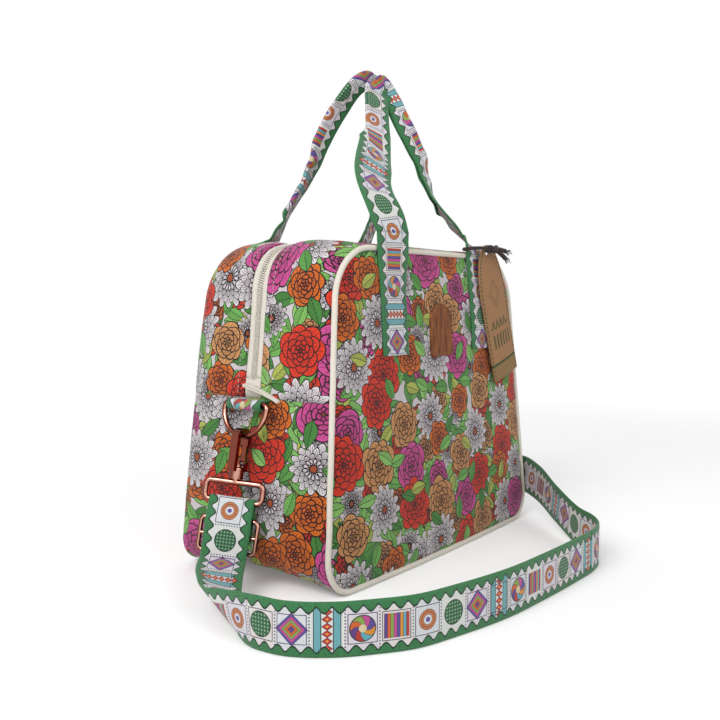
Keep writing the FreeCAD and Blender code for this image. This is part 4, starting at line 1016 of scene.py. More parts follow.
# sewn-down ends of the tapes
for hand in (-1.0, 1.0):
    word = "left" if hand < 0 else "right"
    run = gussetUpper[(gussetUpper[:, 1] < zipForm["endHeight"] + 0.0035) & (gussetUpper[:, 0] * hand > 0)]
    top, endLay = gussetGrid(run, lambda z: -zipForm["tapeEdge"], lambda z: zipForm["tapeEdge"], 14, zipForm["tapeDrop"])
    low, _ = gussetGrid(run, lambda z: -zipForm["tapeEdge"], lambda z: zipForm["tapeEdge"], 14, zipForm["tapeDrop"] + zipForm["tapeThick"])
    zipEnd = shell(word + "ZipEnd", top, low, endLay, tapeCloth)
    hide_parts(word + "_zip_end")
    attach(zipEnd, "bag")

# loose end of the left tapes: two plies that stand out over the ring tab
looseForm = {"start": (0.0045, 0.1402), "end": (-0.0255, 0.1300), "stand": (0.0052, 0.0032), "ply": 0.0007, "apart": 0.0011}
sideAngle = math.atan(sideSlope)
for k in (0, 1):
    grid = np.zeros((18, 6, 3))
    lay = np.zeros((18, 6, 2))
    for i, s in enumerate(np.linspace(0.0, 1.0, 18)):
        y = looseForm["start"][0] * (1.0 - s) + looseForm["end"][0] * s
        z = looseForm["start"][1] * (1.0 - s) + looseForm["end"][1] * s + 0.0012 * math.sin(math.pi * s)
        stand = looseForm["stand"][0] * (1.0 - s) + looseForm["stand"][1] * s
        for j, c in enumerate(np.linspace(-0.25, 1.0, 6)):
            spot = gussetPoint(-reachAt(z, bagCut["pipingProud"]), z, -math.cos(sideAngle), math.sin(sideAngle), y, -stand * c)
            bend = looseForm["apart"] * (k - 0.5) * (0.6 + 0.9 * max(0.0, c) * math.sin(math.pi * min(1.0, 0.15 + s)))
            grid[i, j] = np.array(spot) + np.array([0.0, 0.0, bend - 0.0007 * c * abs(c)])
            lay[i, j] = (c * stand, s * 0.031)
    loose = shell("leftTapeEnd" + str(k + 1), grid + np.array([0, 0, looseForm["ply"] / 2]), grid - np.array([0, 0, looseForm["ply"] / 2]), lay, tapeCloth)
    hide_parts("left_zip_end")
    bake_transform(loose)
print("stage: gusset and zip sewn")

# ---- webbing pieces
webbingCut = {"width": 0.032, "thickness": 0.0017,
              "columns": [-16.0, -15.4, -13.5, -10.5, -7.0, -4.0, -2.2, -1.1, 0.0, 1.1, 2.2, 4.0, 7.0, 10.5, 13.5, 15.4, 16.0]}
columns = np.array(webbingCut["columns"]) * mm
loopColumns = np.linspace(columns[0], columns[-1], 45)


def sweptWebbing(name, line, across, material, start=0.0, columns=columns, flip=False):
    # flat webbing along a line, with one width direction for all or one for each point
    across = np.broadcast_to(np.asarray(across, float), line.shape)
    grid = line[:, None, :] + across[:, None, :] * columns[None, :, None]
    run = runOf(line) + start
    lay = np.stack(np.broadcast_arrays(columns[None, :], run[:, None]), axis=-1)
    return webbingShell(name, grid, lay, material)


def roundedPath(points, radii, step=0.0011):
    # flat path of straight runs and arcs
    pts = [np.array(p, float) for p in points]
    line = [pts[0]]
    for k in range(1, len(pts) - 1):
        into = (pts[k - 1] - pts[k]) / np.linalg.norm(pts[k - 1] - pts[k])
        out = (pts[k + 1] - pts[k]) / np.linalg.norm(pts[k + 1] - pts[k])
        half = math.acos(max(-1.0, min(1.0, float(into @ out)))) / 2.0
        back = radii[k] / math.tan(half)
        start, end = pts[k] + into * back, pts[k] + out * back
        middle = (into + out) / np.linalg.norm(into + out)
        centre = pts[k] + middle * (radii[k] / math.sin(half))
        a, b = start - centre, end - centre
        sweep = math.atan2(a[0] * b[1] - a[1] * b[0], float(a @ b))
        a0 = math.atan2(a[1], a[0])
        count = max(5, int(abs(sweep) * radii[k] / step))
        for t in np.linspace(0.0, 1.0, count + 1):
            line.append(centre + radii[k] * np.array([math.cos(a0 + sweep * t), math.sin(a0 + sweep * t)]))
    line.append(pts[-1])
    dense = [line[0]]
    for p in line[1:]:
        gap = np.linalg.norm(p - dense[-1])
        if gap < 1e-7:
            continue
        steps = max(1, int(gap / 0.003))
        base = dense[-1]
        for t in range(1, steps + 1):
            dense.append(base + (p - base) * t / steps)
    return np.array(dense)


# handles: stitched ends on the panels and a free loop folded in half at the grip
handleForm = {
    "spacing": 0.128, "bottom": 0.160, "rise": 0.009, "foldHalf": 0.0020,
    "top": {"front": 0.3838, "rear": 0.3887}, "tiltSpan": 0.034, "sway": {"front": 0.010, "rear": 0.004},
    "front": [(-64, 0), (-66.8, 11.3), (-66.9, 26.8), (-59.9, 42.4), (-49.4, 55), (-37.9, 67), (-27.1, 79), (-19.4, 91), (-14.4, 103.5),
              (-9.6, 116), (-5.2, 128), (0, 137.5), (5.9, 142), (10.6, 136.5), (13.3, 124), (15.4, 111), (18.1, 99), (22.7, 87.5),
              (27.6, 76), (31.8, 64.3), (35.2, 52.3), (40.3, 41.3), (47.2, 30), (56.7, 19), (63.7, 8.6), (64, 0)],
    "rear": [(-64, 0), (-53.9, 13.5), (-45.4, 30.4), (-35.1, 46.8), (-26.3, 64), (-20.9, 80.6), (-17.8, 97), (-13.7, 114), (-10.2, 130),
             (-4, 138.5), (5.3, 142), (14.8, 137.5), (24.5, 129), (36.1, 114), (49.4, 98), (62.3, 81), (71.7, 64), (77.3, 47), (78, 30),
             (73.6, 14), (64, 0)],
    # where each leg starts to fold and where it is folded, from its end
    "folds": {"frontLeft": (0.086, 0.118), "frontRight": (0.024, 0.070), "rearLeft": (0.010, 0.060), "rearRight": (0.016, 0.070)},
    # how far the crease stops from the middle of the webbing
    "creases": {"frontLeft": 0.0055, "frontRight": 0.0, "rearLeft": 0.0, "rearRight": 0.0},
    # turn of each leg about its outer (1) or inner (-1) edge: height in mm, degrees
    "turns": {
        "frontLeft": (1.0, [(205, 0), (241.5, 10.5), (262, 14.6), (282, 13.6), (300, 13.7), (318, 5.4), (336, 13.3), (354, 13), (372, 5.4)]),
        "frontRight": (-1.0, [(241.5, 0), (250, 27.5), (262, 41.7), (275, 33.9), (288, 22.1), (302, 3.3), (318, -24.3), (336, -35.4),
                              (354, -30), (372, -20.4)]),
        "rearLeft": (-1.0, [(241.5, 0), (250, 34), (262, 37.6), (278, 31.2), (294, 20.7), (312, 5.5), (330, -19), (350, -26.4), (370, -15.2)]),
        "rearRight": (1.0, [(241.5, 0), (255, -20.8), (275, -17.3), (295, -8.9), (315, -5.2), (335, -2.8), (355, -6.6), (375, -15)]),
    },
}


def handleTop(side):
    h = panelHeight + handleForm["rise"]
    return panelPoint(np.array([0.0]), np.array([-webbingCut["thickness"] / 2.0]), np.array([h]), side)[0]


def turnAt(knots, z):
    angle = np.zeros(len(z))
    for (z0, a0), (z1, a1) in zip(knots, knots[1:]):
        angle = np.where(z >= z0 * mm, a0 + (a1 - a0) * smoothStep(z, z0 * mm, z1 * mm), angle)
    return np.radians(angle)


def endRows(label, hand, side):
    # up the panel and over the crown of the cloth; columns run from the inner to the outer edge
    low = handleForm["bottom"] / math.cos(leanAngle)
    h = np.linspace(low, panelHeight + handleForm["rise"], 40)
    x = hand * (handleForm["spacing"] / 2.0 + columns)
    pivot, knots = handleForm["turns"][label + ("Left" if hand < 0 else "Right")]
    face = panelNormal(side)
    over = np.array([hand, 0.0, 0.0])
    grid = np.zeros((len(h), len(columns), 3))
    for i, height in enumerate(h):
        depth = panelDepth(x, np.full_like(x, min(height, panelHeight - 0.012)))
        flat = np.minimum(depth, 0.0) - webbingCut["thickness"] / 2.0 - 0.0001
        fade = max(0.0, min(1.0, (panelHeight + 0.004 - height) / 0.03))
        grid[i] = panelPoint(x, flat * fade + (1.0 - fade) * (-webbingCut["thickness"] / 2.0), np.full_like(x, height), side)
        angle = turnAt(knots, grid[i, 8:9, 2])[0]
        way = over * math.cos(angle) - face * math.sin(angle)
        grid[i] += (columns - pivot * 0.016)[:, None] * (way - over)
    return grid, h


def foldProfile(crease):
    # section of the webbing turned back at the crease: across and normal offsets
    bend = handleForm["foldHalf"]
    fine = np.linspace(loopColumns[0], loopColumns[-1], 500)
    theta = math.pi * np.clip((fine - crease + bend) / (2.0 * bend), 0.0, 1.0)
    length = fine[1] - fine[0]
    x = np.concatenate([[0.0], np.cumsum(np.cos(theta[:-1]) * length)]) + loopColumns[0]
    q = np.concatenate([[0.0], np.cumsum(-np.sin(theta[:-1]) * length)])
    return np.interp(loopColumns, fine, x), np.interp(loopColumns, fine, q)


def handleLoop(label, side):
    flat = evenLine(np.array(handleForm[label]) * mm, 0.0026)
    base = handleTop(side)
    lift, tilt = 1.0, 0.40
    for _ in range(4):
        h = flat[:, 1] * lift
        crown = h.max()
        hs = np.linspace(0.0, crown, 240)
        for _ in range(40):
            # the loops lean in until they meet over the middle of the bag
            lean = leanAngle + (tilt - leanAngle) * smoothStep(hs, 0.0, handleForm["tiltSpan"])
            reach = np.concatenate([[0.0], np.cumsum(np.sin(lean[:-1]) * (hs[1] - hs[0]))])
            rise = np.concatenate([[0.0], np.cumsum(np.cos(lean[:-1]) * (hs[1] - hs[0]))])
            tilt += (abs(base[1]) - 0.0026 - reach[-1]) / crown
        y = (abs(base[1]) - np.interp(h, hs, reach)) * side + handleForm["sway"][label] * np.sin(math.pi * h / crown)
        line = np.stack([flat[:, 0], y, base[2] + np.interp(h, hs, rise)], axis=1)
        leanHere = np.interp(h, hs, lean)
        face = np.stack([np.zeros(len(h)), np.cos(leanHere) * side, np.sin(leanHere)], axis=1)
        way = np.gradient(line, axis=0)
        way /= np.linalg.norm(way, axis=1, keepdims=True)
        over = np.cross(face, way) * -side
        run = runOf(line)
        left = run < run[-1] / 2.0
        toEnd = np.minimum(run, run[-1] - run)
        straight = smoothStep(toEnd, 0.0, 0.014)[:, None]
        over = over * straight + np.where(left, -1.0, 1.0)[:, None] * np.array([1.0, 0.0, 0.0]) * (1.0 - straight)
        over /= np.linalg.norm(over, axis=1, keepdims=True)
        face = face - over * (face * over).sum(1, keepdims=True)
        face /= np.linalg.norm(face, axis=1, keepdims=True)
        spans = [handleForm["folds"][label + word] for word in ("Left", "Right")]
        folded = np.where(left, smoothStep(toEnd, *spans[0]), smoothStep(toEnd, *spans[1]))
        grid = np.zeros((len(line), len(loopColumns), 3))
        legs = {True: handleForm["turns"][label + "Left"], False: handleForm["turns"][label + "Right"]}
        angles = np.where(left, turnAt(legs[True][1], line[:, 2]), turnAt(legs[False][1], line[:, 2]))
        for i in range(len(line)):
            pivot = legs[bool(left[i])][0]
            goal = handleForm["creases"][label + ("Left" if left[i] else "Right")]
            across = over[i] * math.cos(angles[i]) - face[i] * math.sin(angles[i])
            normal = face[i] * math.cos(angles[i]) + over[i] * math.sin(angles[i])
            x, q = foldProfile(goal + (0.016 + handleForm["foldHalf"] - goal) * (1.0 - folded[i]))
            x = x + 0.5 * (0.016 - goal) * folded[i]
            grid[i] = line[i] + pivot * 0.016 * (over[i] - across) + x[:, None] * across + q[:, None] * normal * -side
        lift *= (handleForm["top"][label] - base[2]) / (grid[:, :, 2].max() - base[2])
    return grid, run


for label, side in flaps.items():
    grid, run = handleLoop(label, side)
    _, h = endRows(label, -1.0, side)
    start = h[-1] - h[0]
    lay = np.stack(np.broadcast_arrays(loopColumns[None, :], run[:, None] + start), axis=-1)
    loop = webbingShell(label + "HandleLoop", grid, lay, webbing)
    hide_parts(label + "_handle_loop")
    hinge = handleTop(side)
    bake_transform(loop)
    for word, hand in (("left", -1.0), ("right", 1.0)):
        grid, h = endRows(label, hand, side)
        v = h - h[0] if hand < 0 else run[-1] + start + (h[-1] - h)
        lay = np.stack(np.broadcast_arrays(columns[None, :], v[:, None]), axis=-1)
        end = webbingShell(label + "Handle" + word.capitalize() + "End", grid, lay, webbing)
        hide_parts(label + "_handle_" + word + "_end")
        # box of stitching
        low, high, one, two = 2, 19, 2, len(columns) - 3
        box = np.concatenate([grid[low:high + 1, one], grid[high, one:two + 1], grid[low:high + 1, two][::-1], grid[low, one:two + 1][::-1]])
        out = np.broadcast_to(panelNormal(side), box.shape)
        sewn = stitches(label + "Handle" + word.capitalize() + "Stitch", box + out * (webbingCut["thickness"] / 2.0), out, greenThread)
        for made in (end, sewn):
            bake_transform(made)
print("stage: handles sewn")

# ---- rings, hooks and adjuster keep their solids and get their finish
hardware = {"bevel": 0.00045}
for name in ("left_d_ring", "right_d_ring", "left_hook_body", "right_hook_body", "left_hook_gate", "right_hook_gate",
             "left_swivel_eye", "right_swivel_eye", "strap_adjuster", "zip_slider", "zip_pull"):
    part = nodes[name]
    part.data.materials.clear()
    part.data.materials.append(roseGold)
for name in ("left_gate_spring", "right_gate_spring"):
    nodes[name].data.materials.clear()
    nodes[name].data.materials.append(springSteel)
for name in ("left_hook_body", "right_hook_body", "left_hook_gate", "right_hook_gate", "zip_slider", "zip_pull"):
    soften = nodes[name].modifiers.new("soften", "BEVEL")
    soften.width = hardware["bevel"]
    soften.segments = 2
    soften.limit_method = "ANGLE"
    soften.angle_limit = math.radians(40)

# ---- webbing on the rings
hangForm = {"standOff": 14.0, "barDrop": 4.75, "tabRadius": 3.05, "lean": 12.0, "swivel": -30.0,
            "eyeLow": -67.7, "adjuster": -91.2, "loopRadius": 3.15, "outerPly": 5.25, "strapTail": 9.0, "loopTail": 15.0,
            "sewnLength": 24.0, "ply": 1.05}
sideReach = bagCut["baseWidth"] / 2.0 - sideSlope * bagCut["seamHeight"] - bagCut["pipingProud"] * math.hypot(1.0, sideSlope)
sidePlace = Matrix.Translation((sideReach, 0.0, bagCut["seamHeight"])) @ Matrix.Rotation(-sideAngle, 4, "Y")
barPoint = sidePlace @ Vector((hangForm["standOff"] * mm, 0.0, -hangForm["barDrop"] * mm))
hangPlace = Matrix.Translation(barPoint) @ Matrix.Rotation(-math.radians(hangForm["lean"]), 4, "Y")


def placedLine(flat, place, hand):
    line = np.array([tuple(place @ Vector((x * mm, 0.0, z * mm))) for x, z in flat])
    across = np.array(tuple(place.to_3x3() @ Vector((0.0, 1.0, 0.0))))
    if hand < 0:
        line[:, 0] *= -1.0
        across[0] *= -1.0
    return line, across


def tabLine():
    r, end = hangForm["tabRadius"], hangForm["standOff"] + hangForm["tabRadius"]
    top, low = r - hangForm["barDrop"], -r - hangForm["barDrop"]
    return roundedPath([(-1.0, top), (end, top), (end, low), (-1.0, low)], [0, r, r, 0], 0.6)


for word, hand in (("left", -1.0), ("right", 1.0)):
    line, across = placedLine(tabLine(), sidePlace, hand)
    tab = sweptWebbing(word + "RingTab", line, across, webbing, 0.150)
    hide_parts(word + "_ring_tab")
    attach(tab, "bag")

r = hangForm["loopRadius"]
bar, eyeLow = hangForm["adjuster"], hangForm["eyeLow"]
leftFlat = roundedPath([(r, bar + hangForm["strapTail"]), (r, bar - r), (-r, bar - r), (-r, eyeLow + r), (r, eyeLow + r),
                        (r, eyeLow - 3.0), (hangForm["outerPly"], eyeLow - 11.0), (hangForm["outerPly"], bar - hangForm["loopTail"])],
                       [0, r, r, r, r, 9.0, 9.0, 0], 0.6)
p = hangForm["ply"]
foot = eyeLow - hangForm["sewnLength"]
rightFlat = roundedPath([(-p, foot + 2.0), (-p, eyeLow - 11.0), (-r, eyeLow - 3.0), (-r, eyeLow + r), (r, eyeLow + r),
                         (r, eyeLow - 3.0), (p, eyeLow - 11.0), (p, foot)], [0, 9.0, 9.0, r, r, 9.0, 9.0, 0], 0.6)
leftTurn = hangPlace @ Matrix.Rotation(math.radians(hangForm["swivel"]), 4, "Z")
leftLine, leftAcross = placedLine(leftFlat, leftTurn, -1.0)
rightLine, rightAcross = placedLine(rightFlat, hangPlace, 1.0)
leftLoop = sweptWebbing("leftStrapLoop", leftLine, leftAcross, webbing, 0.032)
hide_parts("left_strap_loop")
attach(leftLoop, "left_ring")
rightLoop = sweptWebbing("rightStrapLoop", rightLine[::-1], rightAcross, webbing, 0.9)
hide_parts("right_strap_loop")
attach(rightLoop, "right_ring")

# ---- free shoulder strap on the floor: two edges of one length of webbing
strapForm = {
    "upper": [(-196, 3, 25), (-208, -10, 24), (-219, -27, 23), (-226, -55, 28.5), (-230, -84, 32.3), (-227, -104, 32.3),
              (-213, -126, 32.3), (-193, -144, 32.3), (-174, -157, 32.3), (-147, -166, 32.3), (-101, -177, 32.3),
              (-52, -182, 32.3), (-10, -184.5, 32.3), (24, -185, 32.3), (44, -180.5, 32.6), (57, -171, 33.5)],
    "lower": [(-186, -30, 18), (-205, -47, 10.5), (-226, -70, 1.2), (-229, -77, 0.4), (-230, -84, 0.3), (-227, -104, 0.3),
              (-213, -126, 0.3), (-193, -144, 0.3), (-174, -157, 0.3), (-147, -166, 0.3), (-101, -177, 0.3),
              (-52, -182, 0.3), (-10, -184.5, 0.3), (24, -185, 0.3), (44, -180.5, 0.3), (57, -171, 1.5)],
    "climb": [((72, -153, 18.5), (0, 0, 1)), ((103, -121, 26), (0, 0, 1)), ((140, -85, 35), (0, -0.1, 1)),
              ((159, -56, 38.5), (0, -0.3, 0.95)), ((165, -28, 35), (0, -0.62, 0.78))],
    "split": 0.40,
}
leftEnd, rightEnd = leftLine[-1], rightLine[-1]
upper = [leftEnd + leftAcross * 0.016] + [np.array(q) * mm for q in strapForm["upper"]]
lower = [leftEnd - leftAcross * 0.016] + [np.array(q) * mm for q in strapForm["lower"]]
for middle, way in strapForm["climb"]:
    way = np.array(way) / np.linalg.norm(way)
    upper.append((np.array(middle) + way * 16.0) * mm)
    lower.append((np.array(middle) - way * 16.0) * mm)
upper.append(rightEnd - rightAcross * 0.016)
lower.append(rightEnd + rightAcross * 0.016)


def ruledEdges(upper, lower, per=9):
    # both edges take the same number of steps between their points
    def dense(points):
        pts = np.asarray(points)
        full = np.concatenate([[2 * pts[0] - pts[1]], pts, [2 * pts[-1] - pts[-2]]])
        line = []
        for k in range(1, len(full) - 2):
            p0, p1, p2, p3 = full[k - 1:k + 3]
            d1, d2, d3 = (max(np.linalg.norm(b - a), 1e-9) ** 0.5 for a, b in ((p0, p1), (p1, p2), (p2, p3)))
            m1 = ((p1 - p0) / d1 - (p2 - p0) / (d1 + d2) + (p2 - p1) / d2) * d2
            m2 = ((p2 - p1) / d2 - (p3 - p1) / (d2 + d3) + (p3 - p2) / d3) * d2
            for t in np.linspace(0.0, 1.0, per, endpoint=False):
                line.append((2 * t**3 - 3 * t**2 + 1) * p1 + (t**3 - 2 * t**2 + t) * m1
                            + (3 * t**2 - 2 * t**3) * p2 + (t**3 - t**2) * m2)
        line.append(pts[-1])
        return np.array(line)
    return dense(upper), dense(lower)


topEdge, lowEdge = ruledEdges(upper, lower)
lowEdge[:, 2] = np.maximum(lowEdge[:, 2], 0.0002)
topRun, lowRun = runOf(topEdge), runOf(lowEdge)
across = (columns + 0.016) / 0.032
strapGrid = topEdge[:, None, :] * (1.0 - across)[None, :, None] + lowEdge[:, None, :] * across[None, :, None]
strapStart = 0.032 + float(runOf(leftLine)[-1])
# the print crosses the webbing square to its edges, however the strap turns
middle = np.gradient((topEdge + lowEdge) / 2.0, axis=0)
ruling = lowEdge - topEdge
lean = np.sum(ruling * middle, axis=1) / (np.linalg.norm(ruling, axis=1) * np.linalg.norm(middle, axis=1))
strapRun = ((topRun + lowRun) / 2.0)[:, None] + columns[None, :] * lean[:, None] + strapStart
strapLay = np.stack([np.broadcast_to(columns[None, :], strapRun.shape), strapRun], axis=-1)
strapNormal = gridNormals(strapGrid)
cut = int(np.argmin(np.abs(topRun - strapForm["split"])))
strapLength = float((topRun[-1] + lowRun[-1]) / 2.0)
halves = (("leftShoulderStrap", slice(0, cut + 1)), ("rightShoulderStrap", slice(cut, len(topEdge))))
straps = []
for name, part in halves:
    strap = webbingShell(name, strapGrid[part], strapLay[part], webbing, normals=strapNormal[part])
    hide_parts("shoulder_strap")
    straps.append(strap)
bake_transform(straps[0])
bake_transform(straps[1])
print("stage: strap laid,", round(strapLength, 3), "m")

# ---- leather patch
patchForm = {"width": 0.032, "height": 0.041, "bottom": 0.157, "thickness": 0.0016, "rings": 10}


def patchRim(inset):
    half = patchForm["width"] / 2.0 - inset
    spring = patchForm["bottom"] + patchForm["height"] - patchForm["width"] / 2.0
    low = patchForm["bottom"] + inset
    corner = 0.002
    line = [(-half, spring)]
    line += [(-half + corner * (1 - math.cos(a)), low + corner * (1 - math.sin(a))) for a in np.linspace(0, math.pi / 2, 5)]
    line += [(half - corner * (1 - math.sin(a)), low + corner * (1 - math.cos(a))) for a in np.linspace(0, math.pi / 2, 5)]
    line += [(half, spring)]
    line += [(half * math.cos(a), spring + half * math.sin(a)) for a in np.linspace(0, math.pi, 25)[1:-1]]
    return evenLine(np.array([(x, h) for x, h in line + line[:1]]), 0.0016)[:-1]


rimCount = 72
loopsXH = []
for inset, raised in ((0.0, 0.0), (0.0, 0.6), (0.0002, 0.9), (0.0007, 1.0), (0.0016, 0.97), (0.0022, 0.84), (0.0028, 0.97), (0.006, 1.02), (0.011, 1.03), (0.0145, 1.03)):
    rim = patchRim(inset)
    at = np.linspace(0, len(rim), rimCount, endpoint=False)
    closed = np.concatenate([rim, rim[:1]])
    loopsXH.append((np.stack([np.interp(at, np.arange(len(closed)), closed[:, a]) for a in range(2)], axis=1), raised))
verts, layout = [], []
for ringXH, raised in loopsXH:
    base = np.minimum(panelDepth(ringXH[:, 0], ringXH[:, 1]), 0.0)
    verts.append(panelPoint(ringXH[:, 0], base + 0.0004 - raised * (patchForm["thickness"] + 0.0004), ringXH[:, 1], -1.0))
    layout.append(ringXH)
faces = []
for k in range(len(loopsXH) - 1):
    for m in range(rimCount):
        n = (m + 1) % rimCount
        faces.append((k * rimCount + m, k * rimCount + n, (k + 1) * rimCount + n, (k + 1) * rimCount + m))
faces.append(tuple((len(loopsXH) - 1) * rimCount + m for m in range(rimCount)))
faces.append(tuple(range(rimCount))[::-1])
leatherPatch = piece("leatherPatch", np.concatenate(verts), faces, np.concatenate(layout), leather)
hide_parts("leather_patch")
sewnXH = patchRim(0.0022)
sewnXH = np.concatenate([sewnXH, sewnXH[:1]])
sewn = panelPoint(sewnXH[:, 0], np.minimum(panelDepth(sewnXH[:, 0], sewnXH[:, 1]), 0.0) - 0.84 * patchForm["thickness"], sewnXH[:, 1], -1.0)
patchStitch = stitches("leatherPatchStitch", sewn, np.broadcast_to(panelNormal(-1.0), sewn.shape), tanThread, 0.0021, 0.0009, 0.00024)
for made in (leatherPatch, patchStitch):
    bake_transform(made)

# ---- hang tag, its cord and knot
tagForm = {"width": 0.044, "length": 0.116, "arch": 0.046, "thickness": 0.0012, "hole": 0.0032, "inset": 0.0055,
           "x": 0.072, "stand": 0.0042, "tilt": 15.5, "rise": 0.003, "hang": 0.00155, "curl": 0.0012}
tagHeight = panelHeight + tagForm["rise"] - tagForm["hang"]
tagDepth = -webbingCut["thickness"] - tagForm["stand"]


def tagRim(inset):
    half, top = tagForm["width"] / 2.0, tagForm["inset"]
    spring, foot = top - tagForm["arch"], top - tagForm["length"]
    def bezier(a, b, c, d):
        t = np.linspace(0.0, 1.0, 24)[:, None]
        a, b, c, d = (np.array(q) for q in (a, b, c, d))
        return a * (1 - t)**3 + 3 * b * t * (1 - t)**2 + 3 * c * t * t * (1 - t) + d * t**3
    line = np.concatenate([
        [(-half, foot)], bezier((-half, spring), (-half, spring + 0.62 * tagForm["arch"]), (-0.55 * half, top), (0, top)),
        bezier((0, top), (0.55 * half, top), (half, spring + 0.62 * tagForm["arch"]), (half, spring))[1:], [(half, foot)]])
    return line


def tagBody():
    rim = tagRim(0.0)
    work = bmesh.new()
    outline = [work.verts.new((x, 0.0, z)) for x, z in rim]
    hole = [work.verts.new((tagForm["hole"] * math.cos(a), 0.0, tagForm["hole"] * math.sin(a)))
            for a in np.linspace(0, 2 * math.pi, 20, endpoint=False)]
    edges = [work.edges.new((outline[k], outline[(k + 1) % len(outline)])) for k in range(len(outline))]
    edges += [work.edges.new((hole[k], hole[(k + 1) % len(hole)])) for k in range(len(hole))]
    bmesh.ops.triangle_fill(work, use_beauty=True, edges=edges)
    bmesh.ops.subdivide_edges(work, edges=[e for e in work.edges if e.calc_length() > 0.006], cuts=3, use_grid_fill=True)
    bmesh.ops.triangulate(work, faces=work.faces)
    bmesh.ops.subdivide_edges(work, edges=[e for e in work.edges if e.calc_length() > 0.004], cuts=1, use_grid_fill=True)
    bmesh.ops.triangulate(work, faces=work.faces)
    flat = [tuple(v.co) for v in work.verts]
    tris = [tuple(v.index for v in f.verts) for f in work.faces] if work.verts.index_update() is None else []
    work.free()
    flat = np.array(flat)
    count = len(flat)
    curl = tagForm["curl"] * np.cos(flat[:, 0] / tagForm["width"] * math.pi) * np.clip(-flat[:, 2] / 0.05, 0.0, 1.0)
    front = flat + np.stack([0 * curl, -tagForm["thickness"] - curl, 0 * curl], axis=1)
    backSide = flat + np.stack([0 * curl, -curl, 0 * curl], axis=1)
    edgeUse = {}
    for tri in tris:
        for a, b in zip(tri, tri[1:] + tri[:1]):
            edgeUse.setdefault(tuple(sorted((a, b))), []).append((a, b))
    faces = [t for t in tris] + [tuple(i + count for i in t[::-1]) for t in tris]
    for uses in edgeUse.values():
        if len(uses) == 1:
            a, b = uses[0]
            faces.append((b, a, a + count, b + count))
    points = np.concatenate([front, backSide])
    turn = math.radians(tagForm["tilt"])
    x = points[:, 0] * math.cos(turn) - points[:, 2] * math.sin(turn)
    h = points[:, 0] * math.sin(turn) + points[:, 2] * math.cos(turn)
    verts = panelPoint(x + tagForm["x"], points[:, 1] + tagDepth, h + tagHeight, -1.0)
    foot = tagForm["inset"] - tagForm["length"]
    lay = np.stack([points[:, 0], points[:, 2] - foot], axis=1)
    made = piece("hangTag", verts, faces, lay, kraft, smooth=False)
    return made


hangTag = tagBody()
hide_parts("hang_tag")
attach(hangTag, "hang_tag")

cordForm = {"radius": 0.0012, "plump": 1.35, "clear": 0.0004, "height": panelHeight + 0.003, "knotOut": 0.0127}
middleX, sideX = handleForm["spacing"] / 2.0, webbingCut["width"] / 2.0 + cordForm["clear"] + cordForm["radius"]
near = -webbingCut["thickness"] - cordForm["clear"] - cordForm["radius"]
behind = cordForm["clear"] + cordForm["radius"]
knotDepth = -cordForm["knotOut"]
cordRoute = [
    (tagForm["x"], knotDepth + 0.001, 0.0), (tagForm["x"], (knotDepth + near) / 2.0, 0.0004), (tagForm["x"] + 0.003, near, 0.0),
    (middleX + sideX - 0.002, near, 0.0), (middleX + sideX + 0.0006, (near + behind) / 2.0, 0.0), (middleX + sideX - 0.002, behind, 0.0),
    (middleX, behind, 0.0003), (middleX - sideX + 0.002, behind, 0.0), (middleX - sideX - 0.0006, near, 0.0),
    (middleX - sideX + 0.004, near - 0.003, 0.0004), (tagForm["x"] - 0.012, knotDepth + 0.002, 0.0006), (tagForm["x"] - 0.003, knotDepth, 0.0),
]
cordLine = evenLine([panelPoint(np.array([x]), np.array([d]), np.array([cordForm["height"] + h]), -1.0)[0] for x, d, h in cordRoute], 0.0008)
tagCord = tube("tagCord", cordLine, cordForm["radius"] * 1.15, cordTwist, 12, twist=900.0, lumps=0.16)
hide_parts("tag_cord")
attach(tagCord, "front_flap")


def knotLine(count=90):
    # overhand knot drawn up tight
    a = np.linspace(0.0, 2.0 * math.pi, count)
    x = (np.sin(a) + 2.0 * np.sin(2.0 * a)) * 0.00105
    d = (np.cos(a) - 2.0 * np.cos(2.0 * a)) * 0.00082
    h = -np.sin(3.0 * a) * 0.0013
    return np.stack([x * 1.5, d, h], axis=1) * cordForm["plump"]


knotAt = panelPoint(np.array([tagForm["x"]]), np.array([knotDepth]), np.array([cordForm["height"]]), -1.0)[0]
knotBody = tube("tagKnot", knotLine()[:-1] + knotAt, cordForm["radius"] * cordForm["plump"], cordTwist, 10, closed=True, lumps=0.16)
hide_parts("tag_knot")
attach(knotBody, "front_flap")
for k, (way, length) in enumerate((((1.0, -0.42, -0.42), 0.013), ((1.0, -0.66, 0.12), 0.011))):
    way = np.array(way) / np.linalg.norm(way)
    drop = np.array([0.0, 0.0, -1.0])
    tail = [knotAt + np.array([0.002, -0.0005, 0.0]) + way * s * length + drop * 0.0026 * s * s for s in np.linspace(0.0, 1.0, 7)]
    tail = evenLine(tail, 0.0008)
    swell = np.linspace(1.0, 1.12, len(tail))
    made = tube("tagCordTail" + str(k + 1), tail, cordForm["radius"] * cordForm["plump"] * swell, cordTwist, 10, twist=900.0, lumps=0.16)
    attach(made, "front_flap")
    end, out = tail[-1], (tail[-1] - tail[-3]) / np.linalg.norm(tail[-1] - tail[-3])
    for m in range(9):
        a = 2.0 * math.pi * m / 9
        spread = np.array([0.3 * math.sin(a), math.cos(a), math.sin(a)]) * 0.0014
        hair = [end - out * 0.001 + spread * 0.5, end + out * 0.0012 + spread * 0.9, end + out * (0.0028 + 0.0008 * (m % 3)) + spread * (1.5 + 0.3 * (m % 2))]
        strand = tube("tagCordFray" + str(k + 1) + "x" + str(m), evenLine(hair, 0.0008), 0.00036, cordTwist, 5)
        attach(strand, "front_flap")
print(f"stage: patch, tag and cord on, cord {runOf(cordLine)[-1]:.3f} m")

